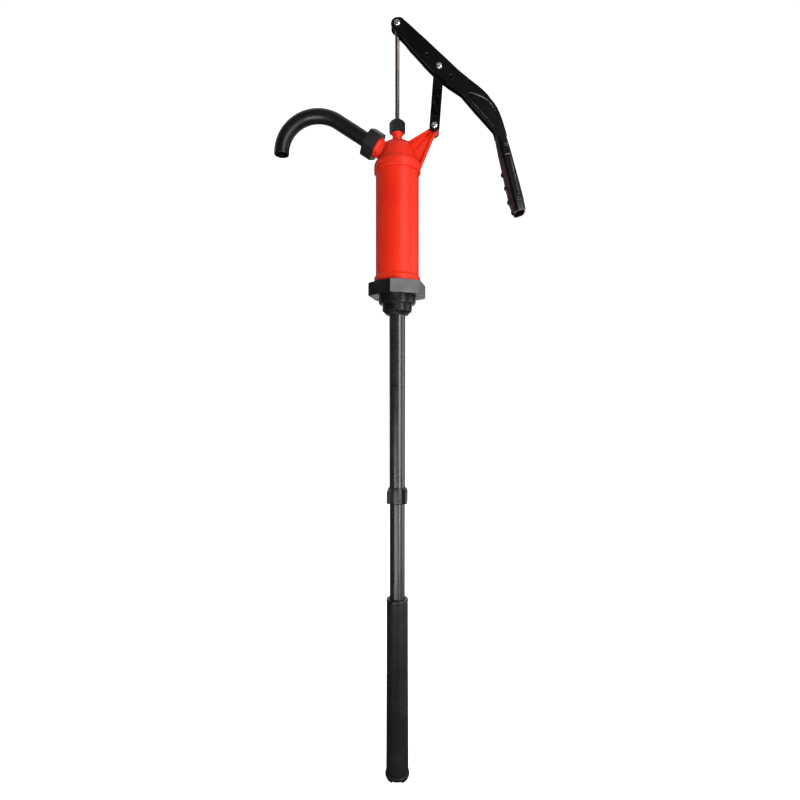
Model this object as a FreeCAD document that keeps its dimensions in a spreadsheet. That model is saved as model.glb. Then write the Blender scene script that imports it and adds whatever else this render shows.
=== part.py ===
import FreeCAD, Part
import math
import os
import Sketcher

# Hand operated drum barrel pump: a double-acting looking but single-acting
# lift pump.  Millimetres.  The origin is the centre of the bung seat, which is
# the underside of the hexagonal flange of the bung adapter, on the tube axis.
# +Z runs up along the plunger rod, +X points to the lever side and the spout
# leaves towards -X.

V = FreeCAD.Vector
R = FreeCAD.Rotation
doc = FreeCAD.newDocument("drum_barrel_pump")
sheet = doc.addObject("Spreadsheet::Sheet", "Dims")
D = {}


def cell(name, value, note=""):
    row = len(D) + 2
    sheet.set("A%d" % row, name)
    sheet.set("B%d" % row, str(value))
    sheet.set("C%d" % row, note)
    sheet.setAlias("B%d" % row, name)
    D[name] = float(value)


sheet.set("A1", "name")
sheet.set("B1", "value")
sheet.set("C1", "meaning")

# barrel and head
cell("barrel_or", 34.5, "barrel outer radius")
cell("barrel_ir", 31.5, "barrel bore radius")
cell("barrel_low", 7, "barrel lower end")
cell("barrel_top", 206, "barrel upper end")
cell("ridge_or", 37.0, "barrel foot ridge radius")
cell("ridge_top", 33.5, "top of the foot ridge")
cell("ring_or", 37.3, "head clamp ring radius")
cell("ring_low", 197, "head clamp ring lower edge")
cell("ring_top", 214.6, "head clamp ring upper edge")
cell("dome_low_or", 30, "dome radius at its foot")
cell("dome_top_or", 19, "dome radius at its shoulder")
cell("dome_top", 243, "height of the dome shoulder")
cell("neck_or", 7.7, "gland neck radius")
cell("neck_low", 256, "height where the gland neck begins")
cell("neck_flare", 9.4, "gland neck flare radius")
cell("gland_low", 262, "gland nut lower face")
cell("gland_top", 283, "gland nut upper face")
cell("gland_corner", 12.8, "gland nut corner radius")
cell("gland_thread", 8.5, "gland thread radius")
cell("packing_or", 6.5, "packing outer radius")
# rod and piston
cell("rod_rad", 3.5, "plunger rod radius")
cell("rod_pin_z", 433.5, "height of the rod pin at rest")
cell("piston_or", 30.8, "piston radius")
cell("piston_low", 182, "piston underside at rest")
cell("seal_or", 31.2, "piston seal radius")
# bung adapter
cell("hex_corner", 47.8, "hexagon corner radius")
cell("hex_high", 21, "hexagon height")
cell("hex_turn", 19, "turn of the hexagon about the axis")
cell("two_inch", 29.8, "outer radius of the 2 inch bung thread")
cell("inch_half", 23.9, "outer radius of the 1 1/2 inch bung thread")
cell("step_len", 12, "length of each bung thread")
cell("tail_low", 28.8, "depth of the adapter tail")
cell("tail_or", 17.6, "radius of the adapter tail end")
# suction tubes
cell("tube_a_or", 12.9, "upper suction tube radius at the top")
cell("tube_a_or_low", 12.4, "upper suction tube radius at the foot")
cell("tube_a_ir", 10.2, "upper suction tube bore")
cell("coup_top", 303, "depth of the coupler top")
cell("coup_low", 329, "depth of the coupler foot")
cell("coup_or", 14, "coupler radius")
cell("tube_b_or", 12.0, "lower suction tube radius")
cell("tube_b_ir", 9.8, "lower suction tube bore")
cell("tube_b_low", 600, "depth of the lower tube end")
cell("sleeve_or", 16.9, "sleeve radius at the top")
cell("sleeve_or_low", 17.8, "sleeve radius at the foot")
cell("sleeve_ir", 14.6, "sleeve bore radius")
cell("sleeve_top", 481, "depth of the sleeve collar top at rest")
cell("sleeve_low", 757, "depth of the sleeve foot at rest")
cell("foot_or", 19.4, "strainer bead radius")
cell("foot_low", 766, "depth of the strainer end at rest")
# spout
cell("nut_x", -39.5, "union nut centre, X")
cell("nut_z", 245.4, "union nut centre, Z")
cell("nut_tilt", 56.5, "tilt of the spout neck from the vertical, degrees")
cell("nut_corner", 24.1, "union nut corner radius")
cell("nut_half", 9.9, "half the union nut height")
cell("spout_or", 11.85, "spout tube radius")
cell("spout_ir", 9.85, "spout tube bore")
cell("spout_run", 67.2397, "straight run of the spout from the nut centre")
cell("spout_bend", 58.6556, "bend radius of the spout centreline")
cell("spout_tip", 4, "straight tip of the spout")
cell("outlet_x", -186.6, "spout outlet, X")
cell("outlet_z", 229.6, "spout outlet, Z")
cell("spout_turn", 123.5, "spout bend angle, degrees")
# linkage
cell("piv_x", 59.1, "fulcrum pivot, X")
cell("piv_z", 267.7, "fulcrum pivot, Z")
cell("link_x", 66.3, "link pin, X")
cell("link_z", 363.9, "link pin, Z")
cell("link_len", 96.47, "link pivot distance")
cell("link_tilt", 4.28, "link lean at rest, degrees")
cell("link_half", 8.1, "half the link width")
cell("fork_out", 25, "width over the fork ears")
cell("fork_in", 12.9, "gap between the fork ears")
cell("boss_wide", 12.4, "bracket boss length")
cell("boss_or", 8.2, "bracket boss radius")
cell("lever_wide", 15.5, "lever width")
cell("lever_gap", 9.5, "inside width of the lever channel")
cell("grip_top_wide", 18, "handle width where it leaves the elbow")
cell("grip_end_wide", 24, "handle width at its open end")
cell("grip_end_deep", 27, "handle depth at its open end")
cell("tongue", 8.9, "thickness of the link tongue")
cell("pin_rad", 2.5, "pivot screw radius")
cell("pin_hole", 2.56, "running hole radius for the pivot screws")
cell("screw_head", 4.8, "pivot screw head radius")


def factor(token):
    out = 1.0
    for piece in token.split("*"):
        out *= D[piece] if piece in D else float(piece)
    return out


def val(text):
    """Value of a sum of terms such as 'barrel_or - 2 + 0.5*rod_rad'."""
    total, sign = 0.0, 1.0
    for token in str(text).split():
        if token == "+":
            sign = 1.0
        elif token == "-":
            sign = -1.0
        else:
            total += sign * factor(token)
            sign = 1.0
    return total


def formula(text):
    """The same sum written for the expression engine."""
    words = []
    for token in str(text).split():
        if token in "+-":
            words.append(token)
            continue
        pieces = ["Dims." + p if p in D else p for p in token.split("*")]
        words.append(" * ".join(pieces))
    return " ".join(words)


def bind(obj, prop, text):
    obj.setExpression(prop, formula(text))


PARTS = []


def keep(obj, label):
    obj.Label = label
    PARTS.append((label, obj))
    return obj


def plane(body, role):
    for feature in body.Origin.OriginFeatures:
        if feature.Role == role:
            return feature
    return None


def outline(body, name, role, points):
    """Closed sketch through points whose coordinates are sums of cells."""
    sk = body.newObject("Sketcher::SketchObject", name)
    sk.AttachmentSupport = [(plane(body, role), "")]
    sk.MapMode = "FlatFace"
    count = len(points)
    flat = [(val(a), val(b)) for a, b in points]
    for i in range(count):
        p, q = flat[i], flat[(i + 1) % count]
        sk.addGeometry(Part.LineSegment(V(p[0], p[1], 0), V(q[0], q[1], 0)), False)
    rules = [Sketcher.Constraint("Coincident", i, 2, (i + 1) % count, 1) for i in range(count)]
    for i in range(count):
        rules.append(Sketcher.Constraint("DistanceX", -1, 1, i, 1, flat[i][0]))
        rules.append(Sketcher.Constraint("DistanceY", -1, 1, i, 1, flat[i][1]))
    sk.addConstraint(rules)
    for i, (a, b) in enumerate(points):
        for k, text in enumerate((a, b)):
            if any(ch.isalpha() for ch in str(text)):
                sk.setExpression("Constraints[%d]" % (count + 2 * i + k), formula(text))
    return sk


def lathe(name, points):
    """PartDesign body: a profile (radius, height) turned about Z."""
    body = doc.addObject("PartDesign::Body", name)
    sk = outline(body, name + "_profile", "XZ_Plane", points)
    turn = body.newObject("PartDesign::Revolution", name + "_turn")
    turn.Profile = sk
    turn.ReferenceAxis = (sk, ["V_Axis"])
    turn.Angle = 360
    body.Tip = turn
    return body


def slab(name, points, width, role="XZ_Plane"):
    """PartDesign body: a flat outline padded evenly to both sides."""
    body = doc.addObject("PartDesign::Body", name)
    sk = outline(body, name + "_outline", role, points)
    pad = body.newObject("PartDesign::Pad", name + "_pad")
    pad.Profile = sk
    pad.SideType = "Symmetric"
    pad.Length = val(width)
    bind(pad, "Length", width)
    body.Tip = pad
    return body


def rod(name, radius, length, at=(0, 0, 0), turn=None, low=None):
    obj = doc.addObject("Part::Cylinder", name)
    obj.Radius = val(radius)
    obj.Height = val(length)
    bind(obj, "Radius", radius)
    bind(obj, "Height", length)
    obj.Placement = FreeCAD.Placement(V(*[val(a) for a in at]), turn or R())
    for axis, text in zip("xyz", at):
        if any(ch.isalpha() for ch in str(text)):
            obj.setExpression("Placement.Base." + axis, formula(text))
    return obj


def prism(name, corner, length, at=(0, 0, 0), turn=None):
    obj = doc.addObject("Part::Prism", name)
    obj.Polygon = 6
    obj.Circumradius = val(corner)
    obj.Height = val(length)
    bind(obj, "Circumradius", corner)
    bind(obj, "Height", length)
    obj.Placement = FreeCAD.Placement(V(*[val(a) for a in at]), turn or R())
    return obj


def block(name, size, at, turn=None):
    obj = doc.addObject("Part::Box", name)
    for prop, text in zip(("Length", "Width", "Height"), size):
        setattr(obj, prop, val(text))
        bind(obj, prop, text)
    obj.Placement = FreeCAD.Placement(V(*[val(a) for a in at]), turn or R())
    return obj


def cut(name, base, tool):
    obj = doc.addObject("Part::Cut", name)
    obj.Base = base
    obj.Tool = tool
    return obj


def fuse(name, shapes):
    obj = doc.addObject("Part::MultiFuse", name)
    obj.Shapes = shapes
    return obj


def common(name, a, b):
    obj = doc.addObject("Part::Common", name)
    obj.Base = a
    obj.Tool = b
    return obj


ALONG_Y = R(V(1, 0, 0), 90)        # local +Z to -Y
TILT = R(V(0, 1, 0), -D["nut_tilt"])  # local +Z to the spout neck direction

# ---------------------------------------------------------------- bung adapter
hexagon = prism("adapter_hex", "hex_corner", "hex_high", turn=R(V(0, 0, 1), D["hex_turn"]))
hex_round = lathe("adapter_hex_round", [
    ("0", "0"), ("hex_corner - 1.6", "0"), ("hex_corner", "1.2"),
    ("hex_corner", "hex_high - 2.2"), ("hex_corner - 3.2", "hex_high"), ("0", "hex_high")])
hex_body = common("adapter_hex_body", hexagon, hex_round)
threads = lathe("adapter_threads", [
    ("0", "1"), ("two_inch", "1"), ("two_inch", "0 - step_len + 0.6"), ("two_inch - 1.6", "0 - step_len"),
    ("inch_half", "0 - step_len"), ("inch_half", "0 - 2*step_len + 0.6"), ("inch_half - 1.6", "0 - 2*step_len"),
    ("tail_or", "0 - tail_low"), ("0", "0 - tail_low")])
adapter_solid = fuse("adapter_solid", [hex_body, threads])
adapter_bore = lathe("adapter_bore", [
    ("0", "0 - tail_low - 2"), ("tube_a_or + 0.1", "0 - tail_low - 2"), ("tube_a_or + 0.1", "5"),
    ("barrel_or + 0.1", "5"), ("barrel_or + 0.1", "hex_high + 2"), ("0", "hex_high + 2")])
keep(cut("adapter", adapter_solid, adapter_bore), "bung_adapter")

# ---------------------------------------------------------------- barrel
keep(lathe("barrel", [
    ("barrel_ir", "barrel_low"), ("barrel_or", "barrel_low"), ("barrel_or", "hex_high"),
    ("ridge_or", "hex_high"), ("ridge_or", "ridge_top - 3.6"), ("ridge_or - 0.6", "ridge_top - 2.4"),
    ("barrel_or + 0.6", "ridge_top - 0.6"), ("barrel_or", "ridge_top + 0.4"),
    ("barrel_or", "barrel_top"), ("barrel_ir", "barrel_top")]), "pump_barrel")
keep(lathe("barrel_ring", [
    ("27", "5"), ("barrel_or - 0.1", "5"), ("barrel_or - 0.1", "barrel_low"), ("27", "barrel_low")]), "barrel_gasket")
keep(lathe("head_ring", [
    ("barrel_ir + 0.3", "barrel_top"), ("barrel_or - 0.1", "barrel_top"), ("barrel_or - 0.1", "barrel_top + 2"),
    ("barrel_ir + 0.3", "barrel_top + 2")]), "head_o_ring")

# ---------------------------------------------------------------- pump head
dome = lathe("head_dome", [
    ("0", "ring_low"), ("ring_or - 0.5", "ring_low"), ("ring_or", "ring_low + 0.6"), ("ring_or", "ring_top - 3.4"),
    ("ring_or - 0.9", "ring_top - 1.1"), ("ring_or - 2.8", "ring_top"), ("33.2", "ring_top - 0.3"),
    ("32.5", "ring_top - 2.2"), ("30.3", "ring_top - 2.2"), ("30.3", "216.6"), ("29.7", "218.1"),
    ("28.9", "220.4"), ("27.6", "225.5"), ("25.9", "231.4"), ("24.3", "236"), ("22.6", "239.4"), ("20.4", "241.8"), ("17.6", "243.4"),
    ("13.5", "245.1"), ("10", "246.4"), ("neck_or + 0.6", "247.4"), ("neck_or", "249.4"), ("neck_or", "256.6"), ("neck_flare", "neck_low + 4"), ("neck_flare", "gland_low"),
    ("gland_thread", "gland_low"), ("gland_thread", "gland_low + 10"), ("0", "gland_low + 10")])
spout_neck = lathe("head_neck", [
    ("0", "-46"), ("14.7", "-46"), ("14.7", "-12.5"), ("16.6", "-11"), ("16.6", "0"), ("0", "0")])
spout_neck.Placement = FreeCAD.Placement(V(D["nut_x"], 0, D["nut_z"]), TILT)
web = slab("bracket_web", [
    ("10", "244"), ("18.6", "247.4"), ("51.5", "266.6"), ("piv_x", "piv_z + 6"), ("piv_x + 7.4", "265"), ("60.4", "260"), ("54.6", "247.5"),
    ("38.6", "209.5"), ("35", "200"), ("20", "210"), ("10", "232")], "4")
top_rim = slab("bracket_top_rim", [
    ("10", "242.6"), ("18.6", "247.7"), ("51.5", "266.9"), ("piv_x", "piv_z + 4.5"), ("piv_x - 3", "piv_z - 1"), ("52.8", "263.8"), ("20.2", "244.8"),
    ("11.6", "239.8")], "boss_wide")
side_rim = slab("bracket_side_rim", [
    ("61.2", "260.2"), ("54.9", "247.5"), ("39", "209.5"), ("36.4", "203.5"), ("32.8", "203.5"), ("33", "205"), ("35.9", "211.3"), ("51.8", "249.2"),
    ("57.2", "261.4"), ("piv_x", "piv_z - 4")], "boss_wide")
neck_rim_a = slab("neck_rim_a", [
    ("5", "252.3"), ("6.4", "251.8"), ("18.6", "247.2"), ("20.4", "246"), ("18.4", "244.4"), ("6.4", "249"), ("5", "249.4")], "boss_wide")
neck_rim_b = slab("neck_rim_b", [
    ("-5", "252.3"), ("-6.4", "251.8"), ("-18.4", "247.2"), ("-22", "245.8"), ("-22", "243"), ("-18.4", "244.4"), ("-6.4", "249"),
    ("-5", "249.4")], "boss_wide")
rib_a = slab("bracket_rib_a", [
    ("53", "265"), ("16.8", "240.8"), ("18", "239"), ("54.4", "263.1")], "9.4")
rib_b = slab("bracket_rib_b", [
    ("54.6", "263.4"), ("22.4", "226"), ("24.8", "224.2"), ("56.8", "261.2")], "9.4")
boss = rod("bracket_boss", "boss_or", "boss_wide", ("piv_x", "0.5*boss_wide", "piv_z"), ALONG_Y)
head_solid = fuse("head_solid", [dome, spout_neck, web, top_rim, side_rim, neck_rim_a, neck_rim_b, rib_a, rib_b, boss])
head_cavity = lathe("head_cavity", [
    ("0", "ring_low - 2"), ("barrel_or + 0.1", "ring_low - 2"), ("barrel_or + 0.1", "barrel_top + 2"),
    ("29.5", "barrel_top + 2"), ("27", "ring_top - 2"), ("dome_low_or - 6", "224"), ("dome_top_or - 3.2", "dome_top - 4"),
    ("rod_rad + 0.1", "dome_top + 3"), ("rod_rad + 0.1", "258"), ("packing_or + 0.1", "258"),
    ("packing_or + 0.1", "gland_low + 12"), ("0", "gland_low + 12")])
neck_bore = rod("head_neck_bore", "10", "48", ("nut_x + 39.5", "0", "nut_z - 26.15"), TILT)
boss_bore = rod("boss_bore", "3.6", "boss_wide + 8", ("piv_x", "0.5*boss_wide + 4", "piv_z"), ALONG_Y)
head_voids = fuse("head_voids", [head_cavity, neck_bore, boss_bore])
keep(cut("head", head_solid, head_voids), "pump_head")

# ---------------------------------------------------------------- gland
keep(lathe("packing", [
    ("rod_rad + 0.1", "258"), ("packing_or", "258"), ("packing_or", "269.6"), ("rod_rad + 0.1", "269.6")]), "gland_packing")
keep(lathe("follower", [
    ("rod_rad + 0.1", "269.6"), ("packing_or", "269.6"), ("packing_or", "273.4"), ("rod_rad + 0.1", "273.4")]), "gland_washer")
gland_hex = prism("gland_hex", "gland_corner", "gland_top - gland_low", ("0", "0", "gland_low"))
gland_round = lathe("gland_round", [
    ("0", "gland_low"), ("gland_corner - 0.7", "gland_low"), ("gland_corner", "gland_low + 0.8"),
    ("gland_corner", "gland_top - 5"), ("7", "gland_top"), ("0", "gland_top")])
gland_body = common("gland_body", gland_hex, gland_round)
gland_bore = lathe("gland_bore", [
    ("0", "gland_low - 1"), ("gland_thread + 0.1", "gland_low - 1"), ("gland_thread + 0.1", "273.4"),
    ("rod_rad + 0.1", "273.4"), ("rod_rad + 0.1", "gland_top + 1"), ("0", "gland_top + 1")])
keep(cut("gland", gland_body, gland_bore), "gland_nut")

# ---------------------------------------------------------------- foot valve
keep(lathe("valve_seat", [
    ("9", "-3"), ("12.8", "-3"), ("12.8", "5"), ("26.8", "5"), ("26.8", "9"), ("9", "9")]), "foot_valve_seat")
cage_solid = rod("cage_solid", "19.5", "11", ("0", "0", "9"))
cage_bore = fuse("cage_bore", [
    rod("cage_inner", "15.5", "8.5", ("0", "0", "8")),
    rod("cage_top_hole", "5", "10", ("0", "0", "14")),
    block("cage_window_a", ("50", "14", "5"), ("-25", "-7", "10.5")),
    block("cage_window_b", ("14", "50", "5"), ("-7", "-25", "10.5"))])
keep(cut("cage", cage_solid, cage_bore), "foot_valve_cage")
keep(lathe("foot_disc", [("0", "9"), ("14.5", "9"), ("14.5", "12"), ("0", "12")]), "foot_valve_disc")

# ---------------------------------------------------------------- suction tubes
keep(lathe("tube_a", [
    ("tube_a_ir", "-4.5"), ("tube_a_or", "-4.5"), ("tube_a_or", "0 - tail_low"), ("tube_a_or_low", "-300"),
    ("tube_a_or_low", "-316"), ("tube_a_ir", "-316")]), "suction_tube_upper")
coupler_round = lathe("coupler_round", [
    ("0", "0 - coup_top"), ("tube_a_or_low + 1", "0 - coup_top"), ("coup_or", "0 - coup_top - 4"),
    ("coup_or", "0 - coup_low"), ("0", "0 - coup_low")])
lug_a = slab("coupler_lug_a", [("-20.9", "-308"), ("-14", "-303.4"), ("14", "-303.4"), ("20.9", "-308"), ("20.9", "-326.6"), ("19.6", "-328"), ("-19.6", "-328"), ("-20.9", "-326.6")], "4.6")
lug_b = slab("coupler_lug_b", [("-20.9", "-308"), ("-14", "-303.4"), ("14", "-303.4"), ("20.9", "-308"), ("20.9", "-326.6"), ("19.6", "-328"), ("-19.6", "-328"), ("-20.9", "-326.6")], "4.6", "YZ_Plane")
lugs = fuse("coupler_lugs", [lug_a, lug_b])
lugs.Placement = FreeCAD.Placement(V(0, 0, 0), R(V(0, 0, 1), 45))
coupler_solid = fuse("coupler_solid", [coupler_round, lugs])
coupler_bore = lathe("coupler_bore", [
    ("0", "0 - coup_low - 1"), ("tube_b_or + 0.05", "0 - coup_low - 1"), ("tube_b_or + 0.05", "-318"), ("10.6", "-318"),
    ("10.6", "-316"), ("tube_a_or_low + 0.05", "-316"), ("tube_a_or_low + 0.05", "0 - coup_top - 2.5"), ("tube_a_or_low + 0.7", "0 - coup_top + 1"),
    ("0", "0 - coup_top + 1")])
keep(cut("coupler", coupler_solid, coupler_bore), "tube_coupler")
keep(lathe("tube_b", [
    ("tube_b_ir", "-318"), ("tube_b_or", "-318"), ("tube_b_or", "0 - tube_b_low"), ("tube_b_ir", "0 - tube_b_low")]),
    "suction_tube_lower")
keep(lathe("end_ring", [
    ("tube_b_or + 0.05", "0 - tube_b_low"), ("sleeve_ir - 0.4", "0 - tube_b_low"),
    ("sleeve_ir - 0.4", "8 - tube_b_low"), ("tube_b_or + 0.05", "8 - tube_b_low")]), "tube_end_ring")

# ---------------------------------------------------------------- telescopic sleeve
keep(lathe("collar", [
    ("tube_b_or + 0.3", "0 - sleeve_top"), ("16.8", "0 - sleeve_top"), ("17.3", "-481.6"), ("17.3", "-486"),
    ("sleeve_ir - 0.1", "-486"), ("sleeve_ir - 0.1", "-494"), ("tube_b_or + 0.3", "-494"), ("tube_b_or + 0.3", "-491"),
    ("13.4", "-491"), ("13.4", "-488"), ("tube_b_or + 0.3", "-488")]), "sleeve_collar")
keep(lathe("collar_seal", [
    ("tube_b_or + 0.1", "-490.9"), ("13.3", "-490.9"), ("13.3", "-488.1"), ("tube_b_or + 0.1", "-488.1")]), "sleeve_o_ring")
keep(lathe("sleeve", [
    ("sleeve_ir", "-486"), ("sleeve_or", "-486"), ("sleeve_or_low", "0 - sleeve_low"), ("sleeve_ir", "0 - sleeve_low")]),
    "suction_sleeve")
foot_round = lathe("foot_round", [
    ("13.4", "-747"), ("sleeve_ir - 0.1", "-747"), ("sleeve_ir - 0.1", "0 - sleeve_low"), ("foot_or - 0.6", "0 - sleeve_low"),
    ("foot_or", "-758.6"), ("foot_or", "-761.4"), ("17.3", "0 - foot_low"), ("14.2", "0 - foot_low"),
    ("14.2", "-762"), ("13.4", "-760")])
slots = fuse("foot_slots", [
    block("foot_slot_a", ("44", "15", "5.6"), ("-22", "-7.5", "-768")),
    block("foot_slot_b", ("15", "44", "5.6"), ("-7.5", "-22", "-768"))])
keep(cut("foot", foot_round, slots), "foot_strainer")
screen_disc = rod("screen_disc", "13.3", "1.6", ("0", "0", "-753.6"))
screen_holes = fuse("screen_holes", [
    rod("screen_hole_%d" % k, "1.5", "4", (
        str((9.6 if k < 10 else 5.0) * math.cos(math.radians(36 * k if k < 10 else 72 * k))),
        str((9.6 if k < 10 else 5.0) * math.sin(math.radians(36 * k if k < 10 else 72 * k))), "-755")) for k in range(15)])
keep(cut("screen", screen_disc, screen_holes), "strainer_screen")

# ---------------------------------------------------------------- spout
nut_hex = prism("union_hex", "nut_corner", "2*nut_half", ("0", "0", "0 - nut_half"))
nut_round = lathe("union_round", [
    ("0", "0 - nut_half"), ("nut_corner - 1.6", "0 - nut_half"), ("nut_corner", "1.2 - nut_half"),
    ("nut_corner", "nut_half - 1.2"), ("nut_corner - 1.6", "nut_half"), ("0", "nut_half")])
nut_body = common("union_body", nut_hex, nut_round)
nut_bore = lathe("union_bore", [
    ("0", "-11"), ("16.7", "-11"), ("16.7", "4.9"), ("spout_or + 0.3", "4.9"), ("spout_or + 0.3", "11"), ("0", "11")])
nut = keep(cut("union", nut_body, nut_bore), "union_nut")
nut.Placement = FreeCAD.Placement(V(D["nut_x"], 0, D["nut_z"]), TILT)
washer = keep(lathe("union_washer", [
    ("10", "0"), ("15.5", "0"), ("15.5", "1.5"), ("10", "1.5")]), "spout_gasket")
washer.Placement = FreeCAD.Placement(V(D["nut_x"], 0, D["nut_z"]), TILT)


def bent_pipe(name, radius):
    straight = rod(name + "_run", radius, "spout_run - 1.7", ("0", "0", "1.7"))
    bend = doc.addObject("Part::Torus", name + "_bend")
    bend.Radius1 = D["spout_bend"]
    bend.Radius2 = val(radius)
    bend.Angle1 = -180
    bend.Angle2 = 180
    bend.Angle3 = D["spout_turn"]
    bind(bend, "Radius1", "spout_bend")
    bind(bend, "Radius2", radius)
    bind(bend, "Angle3", "spout_turn")
    bend.Placement = FreeCAD.Placement(V(-D["spout_bend"], 0, D["spout_run"]), R(V(1, 0, 0), 90))
    bend.setExpression("Placement.Base.x", "0 - Dims.spout_bend")
    bend.setExpression("Placement.Base.z", "Dims.spout_run")
    turn = math.radians(D["spout_turn"])
    end = V(D["spout_bend"] * (math.cos(turn) - 1), 0, D["spout_run"] + D["spout_bend"] * math.sin(turn))
    tip = rod(name + "_tip", radius, "spout_tip")
    tip.Placement = FreeCAD.Placement(end, R(V(0, 1, 0), -D["spout_turn"]))
    curve = fuse(name + "_curve", [straight, bend, tip])
    curve.Placement = FreeCAD.Placement(V(D["nut_x"], 0, D["nut_z"]), TILT)
    return [curve]


flange = rod("spout_flange", "15.6", "2.9", ("0", "0", "0"))
flange.Placement = FreeCAD.Placement(V(D["nut_x"], 0, D["nut_z"]) + TILT.multVec(V(0, 0, 1.7)), TILT)
inlet = rod("spout_inlet", "spout_ir", "4", ("0", "0", "0"))
inlet.Placement = FreeCAD.Placement(V(D["nut_x"], 0, D["nut_z"]) + TILT.multVec(V(0, 0, 0.5)), TILT)
outlet = rod("spout_mouth", "spout_ir", "6", ("outlet_x", "0", "outlet_z - 3"))
spout_solid = fuse("spout_solid", bent_pipe("spout_outer", "spout_or") + [flange])
spout_bore = fuse("spout_bore", bent_pipe("spout_inner", "spout_ir") + [inlet, outlet])
keep(cut("spout", spout_solid, spout_bore), "spout_tube")

# ---------------------------------------------------------------- plunger
rod_body = lathe("rod_body", [
    ("0", "174.5"), ("rod_rad - 0.5", "174.5"), ("rod_rad", "175"), ("rod_rad", "199.6"), ("5.2", "199.6"), ("5.2", "202.5"),
    ("rod_rad", "202.5"), ("rod_rad", "rod_pin_z - 9"), ("4.6", "rod_pin_z - 6"), ("4.6", "rod_pin_z + 1.6"),
    ("3.2", "rod_pin_z + 3.7"), ("1.4", "rod_pin_z + 4.5"), ("0", "rod_pin_z + 4.6")])
rod_flat = block("rod_flat", ("12", "7.6", "300"), ("-6", "-3.8", "170"))
rod_trim = common("rod_trim", rod_body, rod_flat)
rod_low = lathe("rod_low", [("0", "199.6"), ("5.2", "199.6"), ("5.2", "202.5"), ("0", "202.5")])
rod_all = fuse("rod_all", [rod_trim, rod_low])
rod_hole = rod("rod_hole", "pin_hole", "20", ("0", "10", "rod_pin_z"), ALONG_Y)
keep(cut("rod_cut", rod_all, rod_hole), "piston_rod")
piston_round = lathe("piston_round", [
    ("rod_rad + 0.05", "piston_low"), ("piston_or", "piston_low"), ("piston_or", "184.9"), ("29", "184.9"), ("29", "189.1"),
    ("piston_or", "189.1"), ("piston_or", "192"), ("rod_rad + 0.05", "192")])
ports = fuse("piston_ports", [
    rod("piston_port_%d" % k, "3.8", "14", (
        str(17 * math.cos(math.radians(60 * k))), str(17 * math.sin(math.radians(60 * k))), "180")) for k in range(6)])
keep(cut("piston_cut", piston_round, ports), "piston_body")
keep(lathe("seal_ring", [
    ("29.05", "185"), ("seal_or", "185"), ("seal_or", "189"), ("29.05", "189")]), "piston_seal")
keep(lathe("valve_ring", [("10.5", "192"), ("23", "192"), ("23", "194"), ("10.5", "194")]), "piston_valve_disc")
stop_round = lathe("stop_round", [
    ("rod_rad + 0.05", "192"), ("8.2", "192"), ("8.2", "197.6"), ("22", "197.6"), ("22", "199.6"), ("rod_rad + 0.05", "199.6")])
stop_holes = fuse("stop_holes", [
    rod("stop_hole_%d" % k, "3.4", "6", (
        str(14.5 * math.cos(math.radians(60 * k + 30))), str(14.5 * math.sin(math.radians(60 * k + 30))), "196")) for k in range(6)])
keep(cut("stop_cut", stop_round, stop_holes), "piston_valve_stop")
keep(lathe("rod_washer", [("rod_rad + 0.05", "180.4"), ("8", "180.4"), ("8", "182"), ("rod_rad + 0.05", "182")]), "piston_washer")
nut_blank = prism("rod_nut_hex", "7.5", "5.4", ("0", "0", "175"))
keep(cut("rod_nut_cut", nut_blank, rod("rod_nut_bore", "rod_rad + 0.05", "8", ("0", "0", "174"))), "piston_nut")

# ---------------------------------------------------------------- lever
lever_flat = slab("lever_flat", [
    ("-9.9", "433.5"), ("-9.1", "437.3"), ("-7", "440.5"), ("-3.8", "442.6"), ("0", "443.4"), ("4.5", "443.5"), ("7.6", "442.4"),
    ("12.5", "437.9"), ("19.6", "431.6"), ("32.9", "418.9"), ("46.7", "406.2"), ("63.2", "390.2"), ("80", "374.2"),
    ("96.4", "358.2"), ("115", "342.3"), ("129.4", "331"), ("134.5", "326.4"), ("142", "319"), ("148.2", "310.7"),
    ("154.2", "303"), ("159", "295.1"), ("161.9", "288.8"), ("164.4", "281.9"), ("167.5", "273"), ("170.2", "263.7"),
    ("173.6", "252.5"), ("155", "250"), ("154.4", "256"), ("152.9", "261.9"), ("146.2", "269.7"), ("122.6", "296.6"), ("111.2", "310.3"), ("102.5", "320.5"), ("100.6", "322.4"),
    ("83.4", "334"), ("69.5", "344.8"), ("56.8", "356.4"), ("44.7", "368.9"), ("31.4", "384.3"), ("24.1", "392.1"), ("18.2", "399"),
    ("11.6", "407.8"), ("4", "415.3"), ("-1.8", "420.6"), ("-4.6", "424.7"), ("-7", "426.5"), ("-9.1", "429.7")], "lever_wide")
channel = slab("lever_channel", [
    ("-20", "437.6"), ("-5", "437.6"), ("-2.6", "439.2"), ("4", "439.2"), ("8", "438"), ("10.6", "436.2"),
    ("17.6", "429.4"), ("30.9", "416.7"), ("44.7", "404"), ("61.4", "388.2"), ("78.5", "372.4"),
    ("95", "356.5"), ("113.5", "340.7"), ("128", "329.4"), ("133", "324.8"), ("140.4", "317.6"), ("146.4", "309.4"),
    ("152.2", "301.6"), ("156.8", "294"), ("159.5", "287.8"), ("161.8", "281"), ("164.7", "272.2"), ("167.3", "262.8"),
    ("170", "253"), ("140", "253"), ("100", "290"), ("60", "330"), ("0", "380"), ("-30", "410")], "lever_gap")
channel_a = cut("lever_u", lever_flat, channel)


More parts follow.
